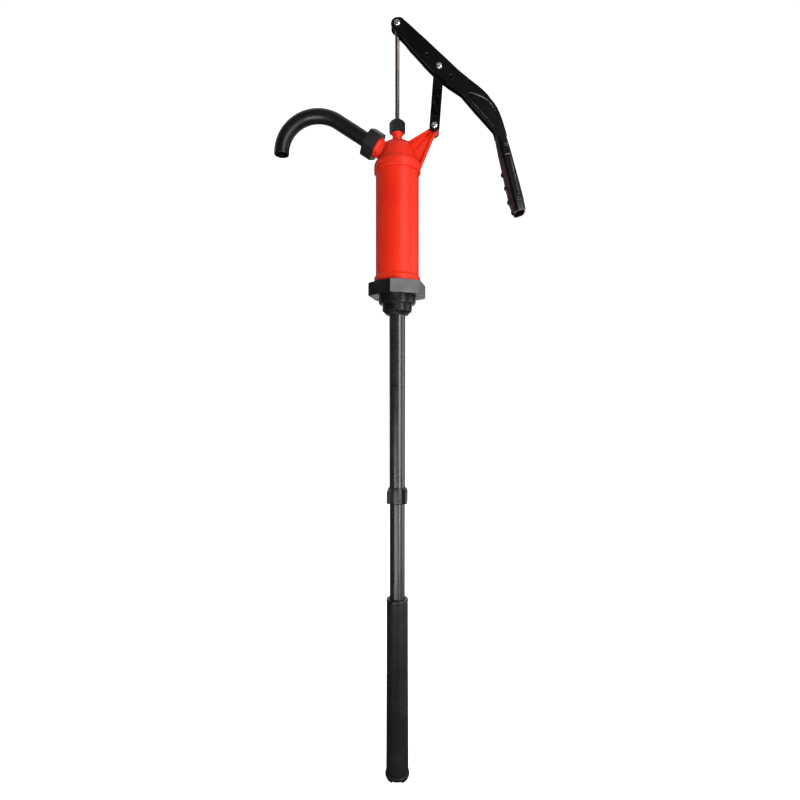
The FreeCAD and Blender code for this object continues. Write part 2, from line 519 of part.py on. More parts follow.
def grip_section(name, along, wide, deep, tip=0):
    """Sketch square to the handle: X away from the fingers, Y to the rear."""
    shape = [
        ("0.5", "-0.31"), ("0.44", "-0.455"), ("0.36", "-0.5"), ("-0.1", "-0.5"), ("-0.3", "-0.41"), ("-0.45", "-0.23"), ("-0.5", "0"),
        ("-0.45", "0.23"), ("-0.3", "0.41"), ("-0.1", "0.5"), ("0.36", "0.5"), ("0.44", "0.455"), ("0.5", "0.31")]
    sk = doc.addObject("Sketcher::SketchObject", name)
    count = len(shape)
    flat = [(float(fx) * val(wide), float(fy) * val(deep)) for fx, fy in shape]
    for i in range(count):
        p, q = flat[i], flat[(i + 1) % count]
        sk.addGeometry(Part.LineSegment(V(p[0], p[1], 0), V(q[0], q[1], 0)), False)
    rules = [Sketcher.Constraint("Coincident", i, 2, (i + 1) % count, 1) for i in range(count)]
    for i in range(count):
        rules.append(Sketcher.Constraint("DistanceX", -1, 1, i, 1, flat[i][0]))
        rules.append(Sketcher.Constraint("DistanceY", -1, 1, i, 1, flat[i][1]))
    sk.addConstraint(rules)
    for i, (fx, fy) in enumerate(shape):
        sk.setExpression("Constraints[%d]" % (count + 2 * i), "%s * (%s)" % (fx, formula(wide)))
        sk.setExpression("Constraints[%d]" % (count + 2 * i + 1), "%s * (%s)" % (fy, formula(deep)))
    lean = R(V(0, 1, 0), 180 - 13.5)
    turned = lean * R(V(0, 0, 1), 180) * R(V(1, 0, 0), tip)
    base = V(162.9, 0, 255) + lean.multVec(V(0, 0, along))
    sk.Placement = FreeCAD.Placement(base, turned)
    return sk


def loft(name, sections):
    obj = doc.addObject("Part::Loft", name)
    obj.Sections = sections
    obj.Solid = True
    obj.Ruled = True
    return obj


grip = loft("grip_out", [
    grip_section("grip_top", 0, "grip_top_wide", "lever_wide"), grip_section("grip_upper", 30, "grip_top_wide + 2.5", "lever_wide + 3"),
    grip_section("grip_middle", 72, "grip_end_wide - 2.3", "grip_end_deep - 3"),
    grip_section("grip_end", 127.1, "grip_end_wide", "grip_end_deep", 8)])
grip_in = loft("grip_in", [
    grip_section("hollow_top", 16, "grip_top_wide - 3.5", "lever_wide - 3.4"), grip_section("hollow_upper", 30, "grip_top_wide - 2.5", "lever_wide - 2"),
    grip_section("hollow_middle", 72, "grip_end_wide - 7.3", "grip_end_deep - 8"),
    grip_section("hollow_end", 140, "grip_end_wide - 4.4", "grip_end_deep - 4.6", 8)])
bumps = []
for k, (x, z) in enumerate((("167.6", "196.2"), ("172.6", "175.2"), ("178.2", "152.6"), ("184.2", "134.6"))):
    bump = doc.addObject("Part::Sphere", "grip_bump_%d" % k)
    bump.Radius = 4.6 if k == 2 else 4.1
    bump.Placement = FreeCAD.Placement(V(float(x), 0, float(z)), R())
    bumps.append(bump)
panel = slab("lever_panel", [
    ("113.6", "321.6"), ("121", "319.8"), ("129.5", "316.8"), ("137.5", "312.8"), ("144.2", "307.6"), ("150", "300.2"), ("154.4", "291.6"),
    ("157.2", "281"), ("158.2", "270"), ("156.2", "264.9"), ("152.4", "266.7"), ("125.2", "298"), ("110.4", "316.2")], "lever_wide + 4")
panel_core = slab("lever_panel_core", [("90", "250"), ("180", "250"), ("180", "340"), ("90", "340")], "lever_wide - 1.6")
panel_cut = cut("lever_panel_cut", panel, panel_core)
ring_a = rod("lever_ring_a", "4.1", "lever_wide + 0.9", ("47.7", "0.5*lever_wide + 0.45", "381.8"), ALONG_Y)
ring_b = rod("lever_ring_b", "4.1", "lever_wide + 0.9", ("85.5", "0.5*lever_wide + 0.45", "346.7"), ALONG_Y)
ring_gap_a = rod("lever_ring_gap_a", "4.4", "lever_gap", ("47.7", "0.5*lever_gap", "381.8"), ALONG_Y)
ring_gap_b = rod("lever_ring_gap_b", "4.4", "lever_gap", ("85.5", "0.5*lever_gap", "346.7"), ALONG_Y)
rib_one = slab("lever_rib_one", [("14.4", "400"), ("26", "412"), ("22", "426"), ("20.2", "425.4"), ("23.6", "413"), ("12.8", "401.6")], "lever_wide - 2")
rib_two = slab("lever_rib_two", [("118", "304.6"), ("119.6", "303"), ("138.5", "321"), ("137", "322.6")], "lever_wide - 2")
rib_three = slab("lever_rib_three", [("147", "271.5"), ("148.6", "270"), ("163.6", "277"), ("163", "279")], "lever_wide - 2")
lever_solid = fuse("lever_solid", [channel_a, grip, rib_one, rib_two, rib_three, ring_a, ring_b] + bumps)
lever_holes = fuse("lever_holes", [
    grip_in, panel_cut, ring_gap_a, ring_gap_b,
    rod("lever_hole_p", "pin_rad + 0.05", "30", ("0", "15", "rod_pin_z"), ALONG_Y),
    rod("lever_hole_m", "pin_rad + 0.05", "30", ("link_x", "15", "link_z"), ALONG_Y),
    rod("lever_hole_a", "2.3", "30", ("47.7", "15", "381.8"), ALONG_Y),
    rod("lever_hole_b", "2.3", "30", ("85.5", "15", "346.7"), ALONG_Y)])
keep(cut("lever_cut", lever_solid, lever_holes), "lever_arm")

# ---------------------------------------------------------------- link
# Local frame: fulcrum at the origin, +Z towards the link pin.
link_face = slab("link_face", [
    ("0", "-8.4"), ("3.3", "-7.7"), ("6", "-5.9"), ("7.8", "-3.2"), ("link_half", "0"), ("link_half", "76"),
    ("12", "83"), ("15.4", "89.5"), ("15.9", "93.6"), ("14.9", "97.2"), ("12.4", "99.8"), ("9.2", "100.6"),
    ("0.4", "102.5"), ("-3", "102"), ("-5.9", "99.9"), ("-7.2", "96.4"), ("-7.3", "92"), ("0 - link_half", "82"),
    ("0 - link_half", "0"), ("-7.8", "-3.2"), ("-6", "-5.9"), ("-3.3", "-7.7")], "fork_out")
link_edge = slab("link_edge", [
    ("0 - 0.5*fork_out", "-9"), ("0.5*fork_out", "-9"), ("0.5*fork_out", "13"), ("0.5*lever_wide", "23"),
    ("0.5*lever_wide", "61"), ("0.5*tongue", "66"), ("0.5*tongue", "104"), ("0 - 0.5*tongue", "104"),
    ("0 - 0.5*tongue", "66"), ("0 - 0.5*lever_wide", "61"), ("0 - 0.5*lever_wide", "23"), ("0 - 0.5*fork_out", "13")],
    "60", "YZ_Plane")
link_solid = common("link_solid", link_face, link_edge)
fork_gap = fuse("fork_gap", [
    rod("fork_gap_round", "9.8", "fork_in", ("0", "0.5*fork_in", "0"), ALONG_Y),
    block("fork_gap_box", ("19.6", "fork_in", "12"), ("-9.8", "0 - 0.5*fork_in", "-12"))])
slot = fuse("link_slot", [
    rod("slot_end_a", "3.9", "30", ("-0.8", "15", "96"), ALONG_Y),
    rod("slot_end_b", "3.9", "30", ("9.4", "15", "94.1"), ALONG_Y),
    slab("slot_mid", [("-1.515", "92.166"), ("8.685", "90.266"), ("10.115", "97.934"), ("-0.085", "99.834")], "30")])
tri = [
    slab("truss_foot", [("-5.4", "17.4"), ("5.4", "17.4"), ("0", "26.6")], "30"),
    slab("truss_diamond", [("0", "30.1"), ("5.4", "39.6"), ("0", "49.1"), ("-5.4", "39.6")], "30"),
    slab("truss_head", [("0", "52.6"), ("4.7", "60.8"), ("-4.7", "60.8")], "30")]
for k, mid in enumerate((28.3, 50.9)):
    top = min(mid + 9.6, 60.8)
    tri.append(slab("truss_left_%d" % k, [("-6.3", str(mid - 9.4)), ("-1", str(mid)), ("-6.3", str(top))], "30"))
    tri.append(slab("truss_right_%d" % k, [("6.3", str(mid - 9.4)), ("6.3", str(top)), ("1", str(mid))], "30"))
truss = cut("truss_pockets", fuse("truss_all", tri), block("truss_web", ("30", "4", "120"), ("-15", "-2", "-10")))
link_voids = fuse("link_voids", [fork_gap, slot, truss, rod("fork_hole", "pin_hole", "40", ("0", "20", "0"), ALONG_Y)])
link = keep(cut("link_cut", link_solid, link_voids), "link_arm")
link.Placement = FreeCAD.Placement(V(D["piv_x"], 0, D["piv_z"]), R(V(0, 1, 0), D["link_tilt"]))

# ---------------------------------------------------------------- pivot screws


def pivot(prefix, x, z, grip_len, gap):
    """Pan head screw, head towards -Y, and its nut on the +Y side."""
    half = 0.5 * grip_len
    shank = rod(prefix + "_shank", "pin_rad", str(grip_len + 5.5 + 2 * gap), (x, str(half + 5 + gap), z), ALONG_Y)
    shank.Placement = FreeCAD.Placement(V(val(x), half + 5.2 + gap, val(z)), ALONG_Y)
    pan = lathe(prefix + "_pan", [
        ("0", "0"), ("screw_head", "0"), ("screw_head", "1.4"), ("screw_head - 0.7", "2.3"), ("screw_head - 2", "2.9"), ("0", "3.1")])
    pan.Placement = FreeCAD.Placement(V(val(x), -half - gap, val(z)), ALONG_Y)
    slot_a = block(prefix + "_recess_a", ("4.4", "1.1", "2"), ("-2.2", "-0.55", "1.8"))
    slot_b = block(prefix + "_recess_b", ("1.1", "4.4", "2"), ("-0.55", "-2.2", "1.8"))
    recess = fuse(prefix + "_recess", [slot_a, slot_b])
    recess.Placement = FreeCAD.Placement(V(val(x), -half - gap, val(z)), ALONG_Y)
    screw = cut(prefix + "_screw_cut", fuse(prefix + "_blank", [shank, pan]), recess)
    keep(screw, prefix + "_screw")
    hexa = prism(prefix + "_nut_hex", "4.6", "4")
    hexa.Placement = FreeCAD.Placement(V(val(x), half + 4 + gap, val(z)), ALONG_Y)
    bore = rod(prefix + "_nut_bore", "pin_rad + 0.05", "8", (x, str(half + 6 + gap), z), ALONG_Y)
    keep(cut(prefix + "_nut_cut", hexa, bore), prefix + "_nut")


pivot("rod_pin", "0", "rod_pin_z", 15.5, 0.0)
pivot("link_pin", "link_x", "link_z", 15.5, 0.0)
pivot("fulcrum", "piv_x", "piv_z", 25.0, 0.25)
bush_out = rod("bush_out", "3.5", "12.4", ("piv_x", "6.2", "piv_z"), ALONG_Y)
bush_in = rod("bush_in", "pin_rad + 0.05", "20", ("piv_x", "10", "piv_z"), ALONG_Y)
keep(cut("bush_cut", bush_out, bush_in), "fulcrum_bush")

doc.recompute()

# ---------------------------------------------------------------- checks and files
bad = []
for obj in doc.Objects:
    if "Invalid" in obj.State or "Error" in obj.State:
        bad.append("%s (%s): %s" % (obj.Name, obj.Label, obj.State))
for label, obj in PARTS:
    shape = obj.Shape
    if shape.isNull() or not shape.isValid():
        bad.append(label + ": null or invalid shape")
    elif len(shape.Solids) != 1:
        bad.append("%s: %d solids" % (label, len(shape.Solids)))
if bad:
    raise RuntimeError("; ".join(bad))
os.makedirs("parts", exist_ok=True)
for label, obj in PARTS:
    obj.Shape.exportStep("parts/" + label + ".step")
    box = obj.Shape.BoundBox
    print("%-22s vol %9.0f  x %7.1f %7.1f  y %6.1f %6.1f  z %7.1f %7.1f" % (
        label, obj.Shape.Volume, box.XMin, box.XMax, box.YMin, box.YMax, box.ZMin, box.ZMax))
print(len(PARTS), "pieces")
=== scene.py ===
import math

import bmesh
import bpy
import numpy as np
from mathutils import Matrix, Vector


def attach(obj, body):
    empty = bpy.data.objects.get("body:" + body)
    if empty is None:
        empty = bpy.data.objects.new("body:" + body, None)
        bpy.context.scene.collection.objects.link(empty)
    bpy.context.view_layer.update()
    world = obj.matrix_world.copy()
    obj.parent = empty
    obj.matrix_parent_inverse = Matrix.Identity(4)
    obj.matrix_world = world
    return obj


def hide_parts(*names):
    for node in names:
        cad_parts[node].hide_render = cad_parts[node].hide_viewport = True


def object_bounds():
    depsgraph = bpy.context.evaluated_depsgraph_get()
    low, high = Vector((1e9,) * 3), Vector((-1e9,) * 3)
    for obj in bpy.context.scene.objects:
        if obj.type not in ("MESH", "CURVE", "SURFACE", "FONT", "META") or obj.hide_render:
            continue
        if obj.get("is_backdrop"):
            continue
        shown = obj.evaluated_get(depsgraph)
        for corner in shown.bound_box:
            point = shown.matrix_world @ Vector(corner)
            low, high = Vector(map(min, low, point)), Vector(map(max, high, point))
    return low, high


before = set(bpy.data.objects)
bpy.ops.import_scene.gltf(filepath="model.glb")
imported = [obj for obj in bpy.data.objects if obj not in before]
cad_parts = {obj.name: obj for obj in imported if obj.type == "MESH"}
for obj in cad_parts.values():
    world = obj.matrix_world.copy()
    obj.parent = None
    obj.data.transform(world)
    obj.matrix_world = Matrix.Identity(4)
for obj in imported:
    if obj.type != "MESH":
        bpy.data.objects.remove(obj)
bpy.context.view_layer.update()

MM = 0.001
scene = bpy.context.scene
TAU = 2 * math.pi

# ------------------------------------------------------------------ materials


def material(name):
    mat = bpy.data.materials.new(name)
    mat.use_nodes = True
    tree = mat.node_tree
    shader = tree.nodes["Principled BSDF"]
    return mat, tree, shader


def coords(tree, scale=(1, 1, 1)):
    tex = tree.nodes.new("ShaderNodeTexCoord")
    mapping = tree.nodes.new("ShaderNodeMapping")
    mapping.inputs["Scale"].default_value = scale
    tree.links.new(tex.outputs["Object"], mapping.inputs["Vector"])
    return mapping.outputs["Vector"]


def noise(tree, vector, scale, detail=4.0, rough=0.55):
    node = tree.nodes.new("ShaderNodeTexNoise")
    node.inputs["Scale"].default_value = scale
    node.inputs["Detail"].default_value = detail
    node.inputs["Roughness"].default_value = rough
    tree.links.new(vector, node.inputs["Vector"])
    return node.outputs["Fac"]


def ramp(tree, fac, stops):
    node = tree.nodes.new("ShaderNodeValToRGB")
    while len(node.color_ramp.elements) < len(stops):
        node.color_ramp.elements.new(0.5)
    for element, (pos, col) in zip(node.color_ramp.elements, stops):
        element.position = pos
        element.color = (*col, 1.0)
    tree.links.new(fac, node.inputs["Fac"])
    return node.outputs["Color"]


def span(tree, fac, low, high, lo_in=0.3, hi_in=0.7):
    node = tree.nodes.new("ShaderNodeMapRange")
    node.inputs["From Min"].default_value = lo_in
    node.inputs["From Max"].default_value = hi_in
    node.inputs["To Min"].default_value = low
    node.inputs["To Max"].default_value = high
    tree.links.new(fac, node.inputs["Value"])
    return node.outputs["Result"]


def bump(tree, shader, layers):
    """layers: (height socket, strength, distance in metres), chained."""
    last = None
    for height, strength, distance in layers:
        node = tree.nodes.new("ShaderNodeBump")
        node.inputs["Strength"].default_value = strength
        node.inputs["Distance"].default_value = distance
        tree.links.new(height, node.inputs["Height"])
        if last is not None:
            tree.links.new(last, node.inputs["Normal"])
        last = node.outputs["Normal"]
    tree.links.new(last, shader.inputs["Normal"])


def plastic(name, dark, mid, light, rough=(0.34, 0.44), grain=1400.0, grain_depth=0.00003, grain_strength=0.25,
            wave_scale=14.0, wave_depth=0.0006, wave_strength=0.10, ior=1.49, specular=0.5, streak=None):
    mat, tree, shader = material(name)
    vec = coords(tree)
    slow = noise(tree, vec, wave_scale, 3.0, 0.6)
    fast = noise(tree, vec, 210.0, 5.0, 0.6)
    mix = tree.nodes.new("ShaderNodeMath")
    mix.operation = "MULTIPLY_ADD"
    mix.inputs[1].default_value = 0.35
    tree.links.new(fast, mix.inputs[0])
    scaled = tree.nodes.new("ShaderNodeMath")
    scaled.operation = "MULTIPLY"
    scaled.inputs[1].default_value = 0.65
    tree.links.new(slow, scaled.inputs[0])
    tree.links.new(scaled.outputs[0], mix.inputs[2])
    tree.links.new(ramp(tree, mix.outputs[0], [(0.32, dark), (0.5, mid), (0.68, light)]), shader.inputs["Base Color"])
    tree.links.new(span(tree, mix.outputs[0], rough[0], rough[1]), shader.inputs["Roughness"])
    shader.inputs["IOR"].default_value = ior
    shader.inputs["Specular IOR Level"].default_value = specular
    layers = [(noise(tree, vec, grain, 2.0, 0.5), grain_strength, grain_depth), (slow, wave_strength, wave_depth)]
    if streak:
        layers.append((noise(tree, coords(tree, streak[0]), streak[1], 3.0, 0.6), streak[2], streak[3]))
    bump(tree, shader, layers)
    return mat


def metal(name, dark, light, rough, stretch, strength, depth=0.00002):
    mat, tree, shader = material(name)
    vec = coords(tree, stretch)
    lines = noise(tree, vec, 900.0, 4.0, 0.6)
    cloud = noise(tree, coords(tree), 60.0, 4.0, 0.6)
    tree.links.new(ramp(tree, cloud, [(0.35, dark), (0.65, light)]), shader.inputs["Base Color"])
    tree.links.new(span(tree, lines, rough[0], rough[1]), shader.inputs["Roughness"])
    shader.inputs["Metallic"].default_value = 1.0
    bump(tree, shader, [(lines, strength, depth)])
    return mat


RED = plastic("red_polypropylene", (0.77, 0.018, 0.004), (0.83, 0.024, 0.005), (0.88, 0.030, 0.008),
              rough=(0.44, 0.52), grain=1700.0, grain_depth=0.00002, grain_strength=0.2, wave_scale=9.0,
              wave_depth=0.0003, wave_strength=0.03, ior=1.46, specular=0.36)
BLACK = plastic("black_nylon", (0.0018, 0.0017, 0.0020), (0.0026, 0.0025, 0.0029), (0.0040, 0.0038, 0.0042),
                rough=(0.27, 0.38), grain=1500.0, grain_depth=0.00003, grain_strength=0.3, ior=1.50, specular=0.26)
ADAPTER = plastic("black_polypropylene", (0.0022, 0.0021, 0.0022), (0.0045, 0.0042, 0.0043), (0.014, 0.013, 0.0132),
                  rough=(0.28, 0.46), grain=950.0, grain_depth=0.00007, grain_strength=0.4, wave_scale=46.0,
                  wave_depth=0.0007, wave_strength=0.22, ior=1.50, specular=0.72)
TUBE = plastic("tube_polyethylene", (0.010, 0.0098, 0.0096), (0.016, 0.0155, 0.0150), (0.030, 0.029, 0.028),
               rough=(0.24, 0.34), grain=1200.0, grain_depth=0.00003, grain_strength=0.25, wave_scale=34.0,
               wave_depth=0.0004, wave_strength=0.16, ior=1.50, specular=0.95, streak=((1, 1, 0.03), 420.0, 0.3, 0.0002))
SLEEVE = plastic("sleeve_polyethylene", (0.011, 0.0106, 0.0102), (0.015, 0.0145, 0.014), (0.024, 0.023, 0.0225),
                 rough=(0.40, 0.54), grain=1200.0, grain_depth=0.00004, grain_strength=0.3, wave_scale=34.0,
                 wave_depth=0.0005, wave_strength=0.22, ior=1.50, specular=0.35, streak=((1, 1, 0.03), 420.0, 0.3, 0.0002))
MATT = plastic("nut_nylon", (0.008, 0.0078, 0.0076), (0.013, 0.0125, 0.012), (0.020, 0.019, 0.0185),
              rough=(0.34, 0.50), grain=1100.0, grain_depth=0.00005, grain_strength=0.35, wave_scale=40.0,
              wave_depth=0.0005, wave_strength=0.15, ior=1.50, specular=0.5)
SPOUT = plastic("spout_polyethylene", (0.0040, 0.0038, 0.0036), (0.0058, 0.0055, 0.0052), (0.0082, 0.0078, 0.0073),
                rough=(0.32, 0.42), grain=1600.0, grain_depth=0.00002, grain_strength=0.2, ior=1.50, specular=0.42)
STEEL = metal("rod_steel", (0.22, 0.188, 0.168), (0.32, 0.278, 0.252), (0.24, 0.36), (1, 1, 0.02), 0.12)
ZINC = metal("zinc_steel", (0.66, 0.67, 0.67), (0.82, 0.83, 0.83), (0.20, 0.34), (1, 1, 1), 0.12)
RUBBER = plastic("seal_rubber", (0.010, 0.010, 0.010), (0.014, 0.014, 0.014), (0.022, 0.022, 0.022), rough=(0.6, 0.8))
ACETAL = plastic("white_acetal", (0.70, 0.69, 0.65), (0.76, 0.75, 0.71), (0.80, 0.79, 0.76), rough=(0.38, 0.5))

# painted highlight: a lighter nylon for the lever's bright edge lines, grip beads, bosses and end rim, standing in for
# glints
PAINTED_HIGHLIGHT = plastic("painted_highlight_nylon", (0.05, 0.045, 0.043), (0.16, 0.145, 0.14), (0.34, 0.31, 0.30),
               rough=(0.25, 0.38), grain=900.0, grain_depth=0.00003, grain_strength=0.3, ior=1.50, specular=0.5)
# painted light: a lighter nylon for the grip's left side, standing in for light falling from the left
PAINTED_LIT_SIDE = plastic("painted_lit_side_nylon", (0.012, 0.009, 0.010), (0.024, 0.018, 0.020), (0.044, 0.034, 0.037),
                  rough=(0.34, 0.46), grain=900.0, grain_depth=0.00003, grain_strength=0.3, ior=1.50, specular=0.5)

# ------------------------------------------------------------------ mesh tools


def finish_mesh(obj, body, mat, angle=32.0, replaces=(), flats=False):
    mesh = obj.data
    bm = bmesh.new()
    bm.from_mesh(mesh)
    bmesh.ops.remove_doubles(bm, verts=bm.verts, dist=2e-6)
    bmesh.ops.recalc_face_normals(bm, faces=bm.faces)
    bm.to_mesh(mesh)
    bm.free()
    mesh.polygons.foreach_set("use_smooth", [True] * len(mesh.polygons))
    mesh.set_sharp_from_angle(angle=math.radians(angle))
    if flats:
        # flat faces keep their own normals and the small roundings take up the turn
        even = obj.modifiers.new("even", "WEIGHTED_NORMAL")
        even.keep_sharp = True
        even.weight = 60
        apply_modifiers(obj)
        mesh = obj.data
    mesh.materials.clear()
    mesh.materials.append(mat)
    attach(obj, body)
    if replaces:
        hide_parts(*replaces)
    return obj


def new_object(name, verts, faces, matrix=None):
    mesh = bpy.data.meshes.new(name)
    pts = [Vector(v) for v in verts]
    if matrix is not None:
        pts = [matrix @ p for p in pts]
    mesh.from_pydata([tuple(p * MM) for p in pts], [], faces)
    bm = bmesh.new()
    bm.from_mesh(mesh)
    bmesh.ops.remove_doubles(bm, verts=bm.verts, dist=1e-6)
    bmesh.ops.recalc_face_normals(bm, faces=bm.faces)
    bm.to_mesh(mesh)
    bm.free()
    mesh.update()
    obj = bpy.data.objects.new(name, mesh)
    scene.collection.objects.link(obj)
    return obj


def rounded(points, step=0.22, limit=12, fixed=0):
    """Closed outline with corner radii: points are (x, y) or (x, y, radius)."""
    out = []
    count = len(points)
    for i, p in enumerate(points):
        radius = p[2] if len(p) > 2 else 0.0
        x, y = p[0], p[1]
        if radius <= 0:
            out.append((x, y))
            continue
        a, b = points[i - 1], points[(i + 1) % count]
        u, v = Vector((a[0] - x, a[1] - y)), Vector((b[0] - x, b[1] - y))
        lu, lv = u.length, v.length
        u.normalize()
        v.normalize()
        ang = math.acos(max(-1.0, min(1.0, u.dot(v))))
        if ang > math.pi - 0.03:
            out.append((x, y))
            continue
        t = min(radius / math.tan(ang / 2), 0.49 * lu, 0.49 * lv)
        r = t * math.tan(ang / 2)
        centre = Vector((x, y)) + (u + v).normalized() * (r / math.sin(ang / 2))
        p0, p1 = Vector((x, y)) + u * t, Vector((x, y)) + v * t
        a0 = math.atan2(p0.y - centre.y, p0.x - centre.x)
        a1 = math.atan2(p1.y - centre.y, p1.x - centre.x)
        d = (a1 - a0 + math.pi) % TAU - math.pi
        k = fixed or max(2, min(limit, int(abs(d) / step) + 1))
        for j in range(k + 1):
            w = a0 + d * j / k
            out.append((centre.x + r * math.cos(w), centre.y + r * math.sin(w)))
    return out


def lathe_mesh(profile, seg=96, turn=0.0):
    verts, faces, rings = [], [], []
    for r, z in profile:
        if r < 1e-4:
            rings.append([len(verts)])
            verts.append((0, 0, z))
        else:
            rings.append(list(range(len(verts), len(verts) + seg)))
            verts += [(r * math.cos(TAU * k / seg + turn), r * math.sin(TAU * k / seg + turn), z) for k in range(seg)]
    for i in range(len(profile)):
        a, b = rings[i], rings[(i + 1) % len(profile)]
        if len(a) == 1 and len(b) == 1:
            continue
        for k in range(seg):
            n = (k + 1) % seg
            if len(a) == 1:
                faces.append((a[0], b[k], b[n]))
            elif len(b) == 1:
                faces.append((a[k], b[0], a[n]))
            else:
                faces.append((a[k], b[k], b[n], a[n]))
    return verts, faces


def lathe(name, profile, seg=96, matrix=None):
    return new_object(name, *lathe_mesh(profile, seg), matrix)


def join(name, objs):
    """One object out of several, modifiers already applied."""
    bm = bmesh.new()
    for o in objs:
        bm.from_mesh(o.data)
    mesh = bpy.data.meshes.new(name)
    bm.to_mesh(mesh)
    bm.free()
    for o in objs:
        data = o.data
        bpy.data.objects.remove(o)
        bpy.data.meshes.remove(data)
    obj = bpy.data.objects.new(name, mesh)
    scene.collection.objects.link(obj)
    return obj


def apply_modifiers(obj):
    dg = bpy.context.evaluated_depsgraph_get()
    dg.update()
    mesh = bpy.data.meshes.new_from_object(obj.evaluated_get(dg))
    old = obj.data
    obj.modifiers.clear()
    obj.data = mesh
    bpy.data.meshes.remove(old)
    return obj


def bevel(obj, width, segments=2, angle=30.0):
    mod = obj.modifiers.new("edge", "BEVEL")
    mod.width = width * MM
    mod.segments = segments
    mod.limit_method = "ANGLE"
    mod.angle_limit = math.radians(angle)
    mod.use_clamp_overlap = True
    return apply_modifiers(obj)


def boolean(obj, tool, operation="DIFFERENCE", keep_tool=False):
    mod = obj.modifiers.new("bool", "BOOLEAN")
    mod.operation = operation
    mod.object = tool
    mod.solver = "EXACT"
    apply_modifiers(obj)
    if not keep_tool:
        data = tool.data
        bpy.data.objects.remove(tool)
        bpy.data.meshes.remove(data)
    return obj


def plate(name, outline, holes, y_mid, thick, edge=0.4, seg=3):
    """Flat moulding in the XZ plane with rounded edges; outline and holes are closed point lists."""
    curve = bpy.data.curves.new(name, "CURVE")
    curve.dimensions = "2D"
    curve.fill_mode = "BOTH"
    curve.extrude = max(0.0, 0.5 * thick - edge) * MM
    curve.bevel_depth = edge * MM
    curve.bevel_resolution = seg - 1
    curve.offset = -edge * MM
    for loop in [outline] + list(holes):
        spline = curve.splines.new("POLY")
        spline.points.add(len(loop) - 1)
        for point, (x, z) in zip(spline.points, loop):
            point.co = (x * MM, z * MM, 0, 1)
        spline.use_cyclic_u = True
    temp = bpy.data.objects.new(name + "_curve", curve)
    scene.collection.objects.link(temp)
    dg = bpy.context.evaluated_depsgraph_get()
    dg.update()
    mesh = bpy.data.meshes.new_from_object(temp.evaluated_get(dg))
    bpy.data.objects.remove(temp)
    bpy.data.curves.remove(curve)
    mesh.transform(Matrix(((1, 0, 0, 0), (0, 0, 1, y_mid * MM), (0, 1, 0, 0), (0, 0, 0, 1))))
    obj = bpy.data.objects.new(name, mesh)
    scene.collection.objects.link(obj)
    return obj


def circle(x, z, r, n=32, start=0.0):
    return [(x + r * math.cos(TAU * k / n + start), z + r * math.sin(TAU * k / n + start)) for k in range(n)]


def refined(node, width=0.4, segments=2, angle=28.0, merge=0.8):
    """A copy of a CAD node's mesh with its flat faces joined and its edges rounded."""
    obj = bpy.data.objects.new(node + "_fine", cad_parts[node].data.copy())
    scene.collection.objects.link(obj)
    mesh = obj.data
    bm = bmesh.new()
    bm.from_mesh(mesh)
    bmesh.ops.remove_doubles(bm, verts=bm.verts, dist=1e-6)
    bmesh.ops.dissolve_limit(bm, angle_limit=math.radians(merge), verts=bm.verts, edges=bm.edges)
    bm.to_mesh(mesh)
    bm.free()
    for name in [a.name for a in mesh.attributes if a.name in ("custom_normal", "sharp_edge", "sharp_face")]:
        mesh.attributes.remove(mesh.attributes[name])
    return bevel(obj, width, segments, angle)


def sweep(name, path, section, closed_ends=False):
    """Sweep a closed section (list of (a, b)) along points with frames (point, normal, binormal)."""
    verts, faces = [], []
    n = len(section)
    for point, na, nb in path:
        for a, b in section:
            verts.append(tuple(point + na * a + nb * b))
    for i in range(len(path) - 1):
        for k in range(n):
            m = (k + 1) % n
            faces.append((i * n + k, i * n + m, (i + 1) * n + m, (i + 1) * n + k))
    if closed_ends:
        faces.append(tuple(range(n)))
        faces.append(tuple(range((len(path) - 1) * n, len(path) * n)))
    return new_object(name, verts, faces)


# ------------------------------------------------------------------ bung adapter
HEX_TURN = math.radians(19)


def hexagon(corner, z0, z1, turn, chamfer_top=0.0, chamfer_low=0.0, edge=0.6, matrix=None, name="hex"):
    verts = []
    for z in (z0, z1):
        verts += [(corner * math.cos(turn + k * math.pi / 3), corner * math.sin(turn + k * math.pi / 3), z) for k in range(6)]
    faces = [tuple(range(6)), tuple(range(6, 12))] + [(k, (k + 1) % 6, 6 + (k + 1) % 6, 6 + k) for k in range(6)]
    obj = new_object(name, verts, faces, None)
    if chamfer_top or chamfer_low:
        r = corner
        prof = [(0, z0 - 1)]
        if chamfer_low:
            prof += [(r - chamfer_low[0], z0 - 1), (r - chamfer_low[0], z0), (r + 0.2, z0 + chamfer_low[1])]
        else:
            prof += [(r + 2, z0 - 1)]
        if chamfer_top:
            prof += [(r + 0.2, z1 - chamfer_top[1]), (r - chamfer_top[0], z1), (r - chamfer_top[0], z1 + 1)]
        else:
            prof += [(r + 2, z1 + 1)]
        prof += [(0, z1 + 1)]
        boolean(obj, lathe(name + "_tool", prof, 96), "INTERSECT")
    bevel(obj, edge, 3, 25)
    if matrix is not None:
        obj.data.transform(Matrix.Translation(matrix.translation * MM) @ matrix.to_3x3().to_4x4())
    return obj


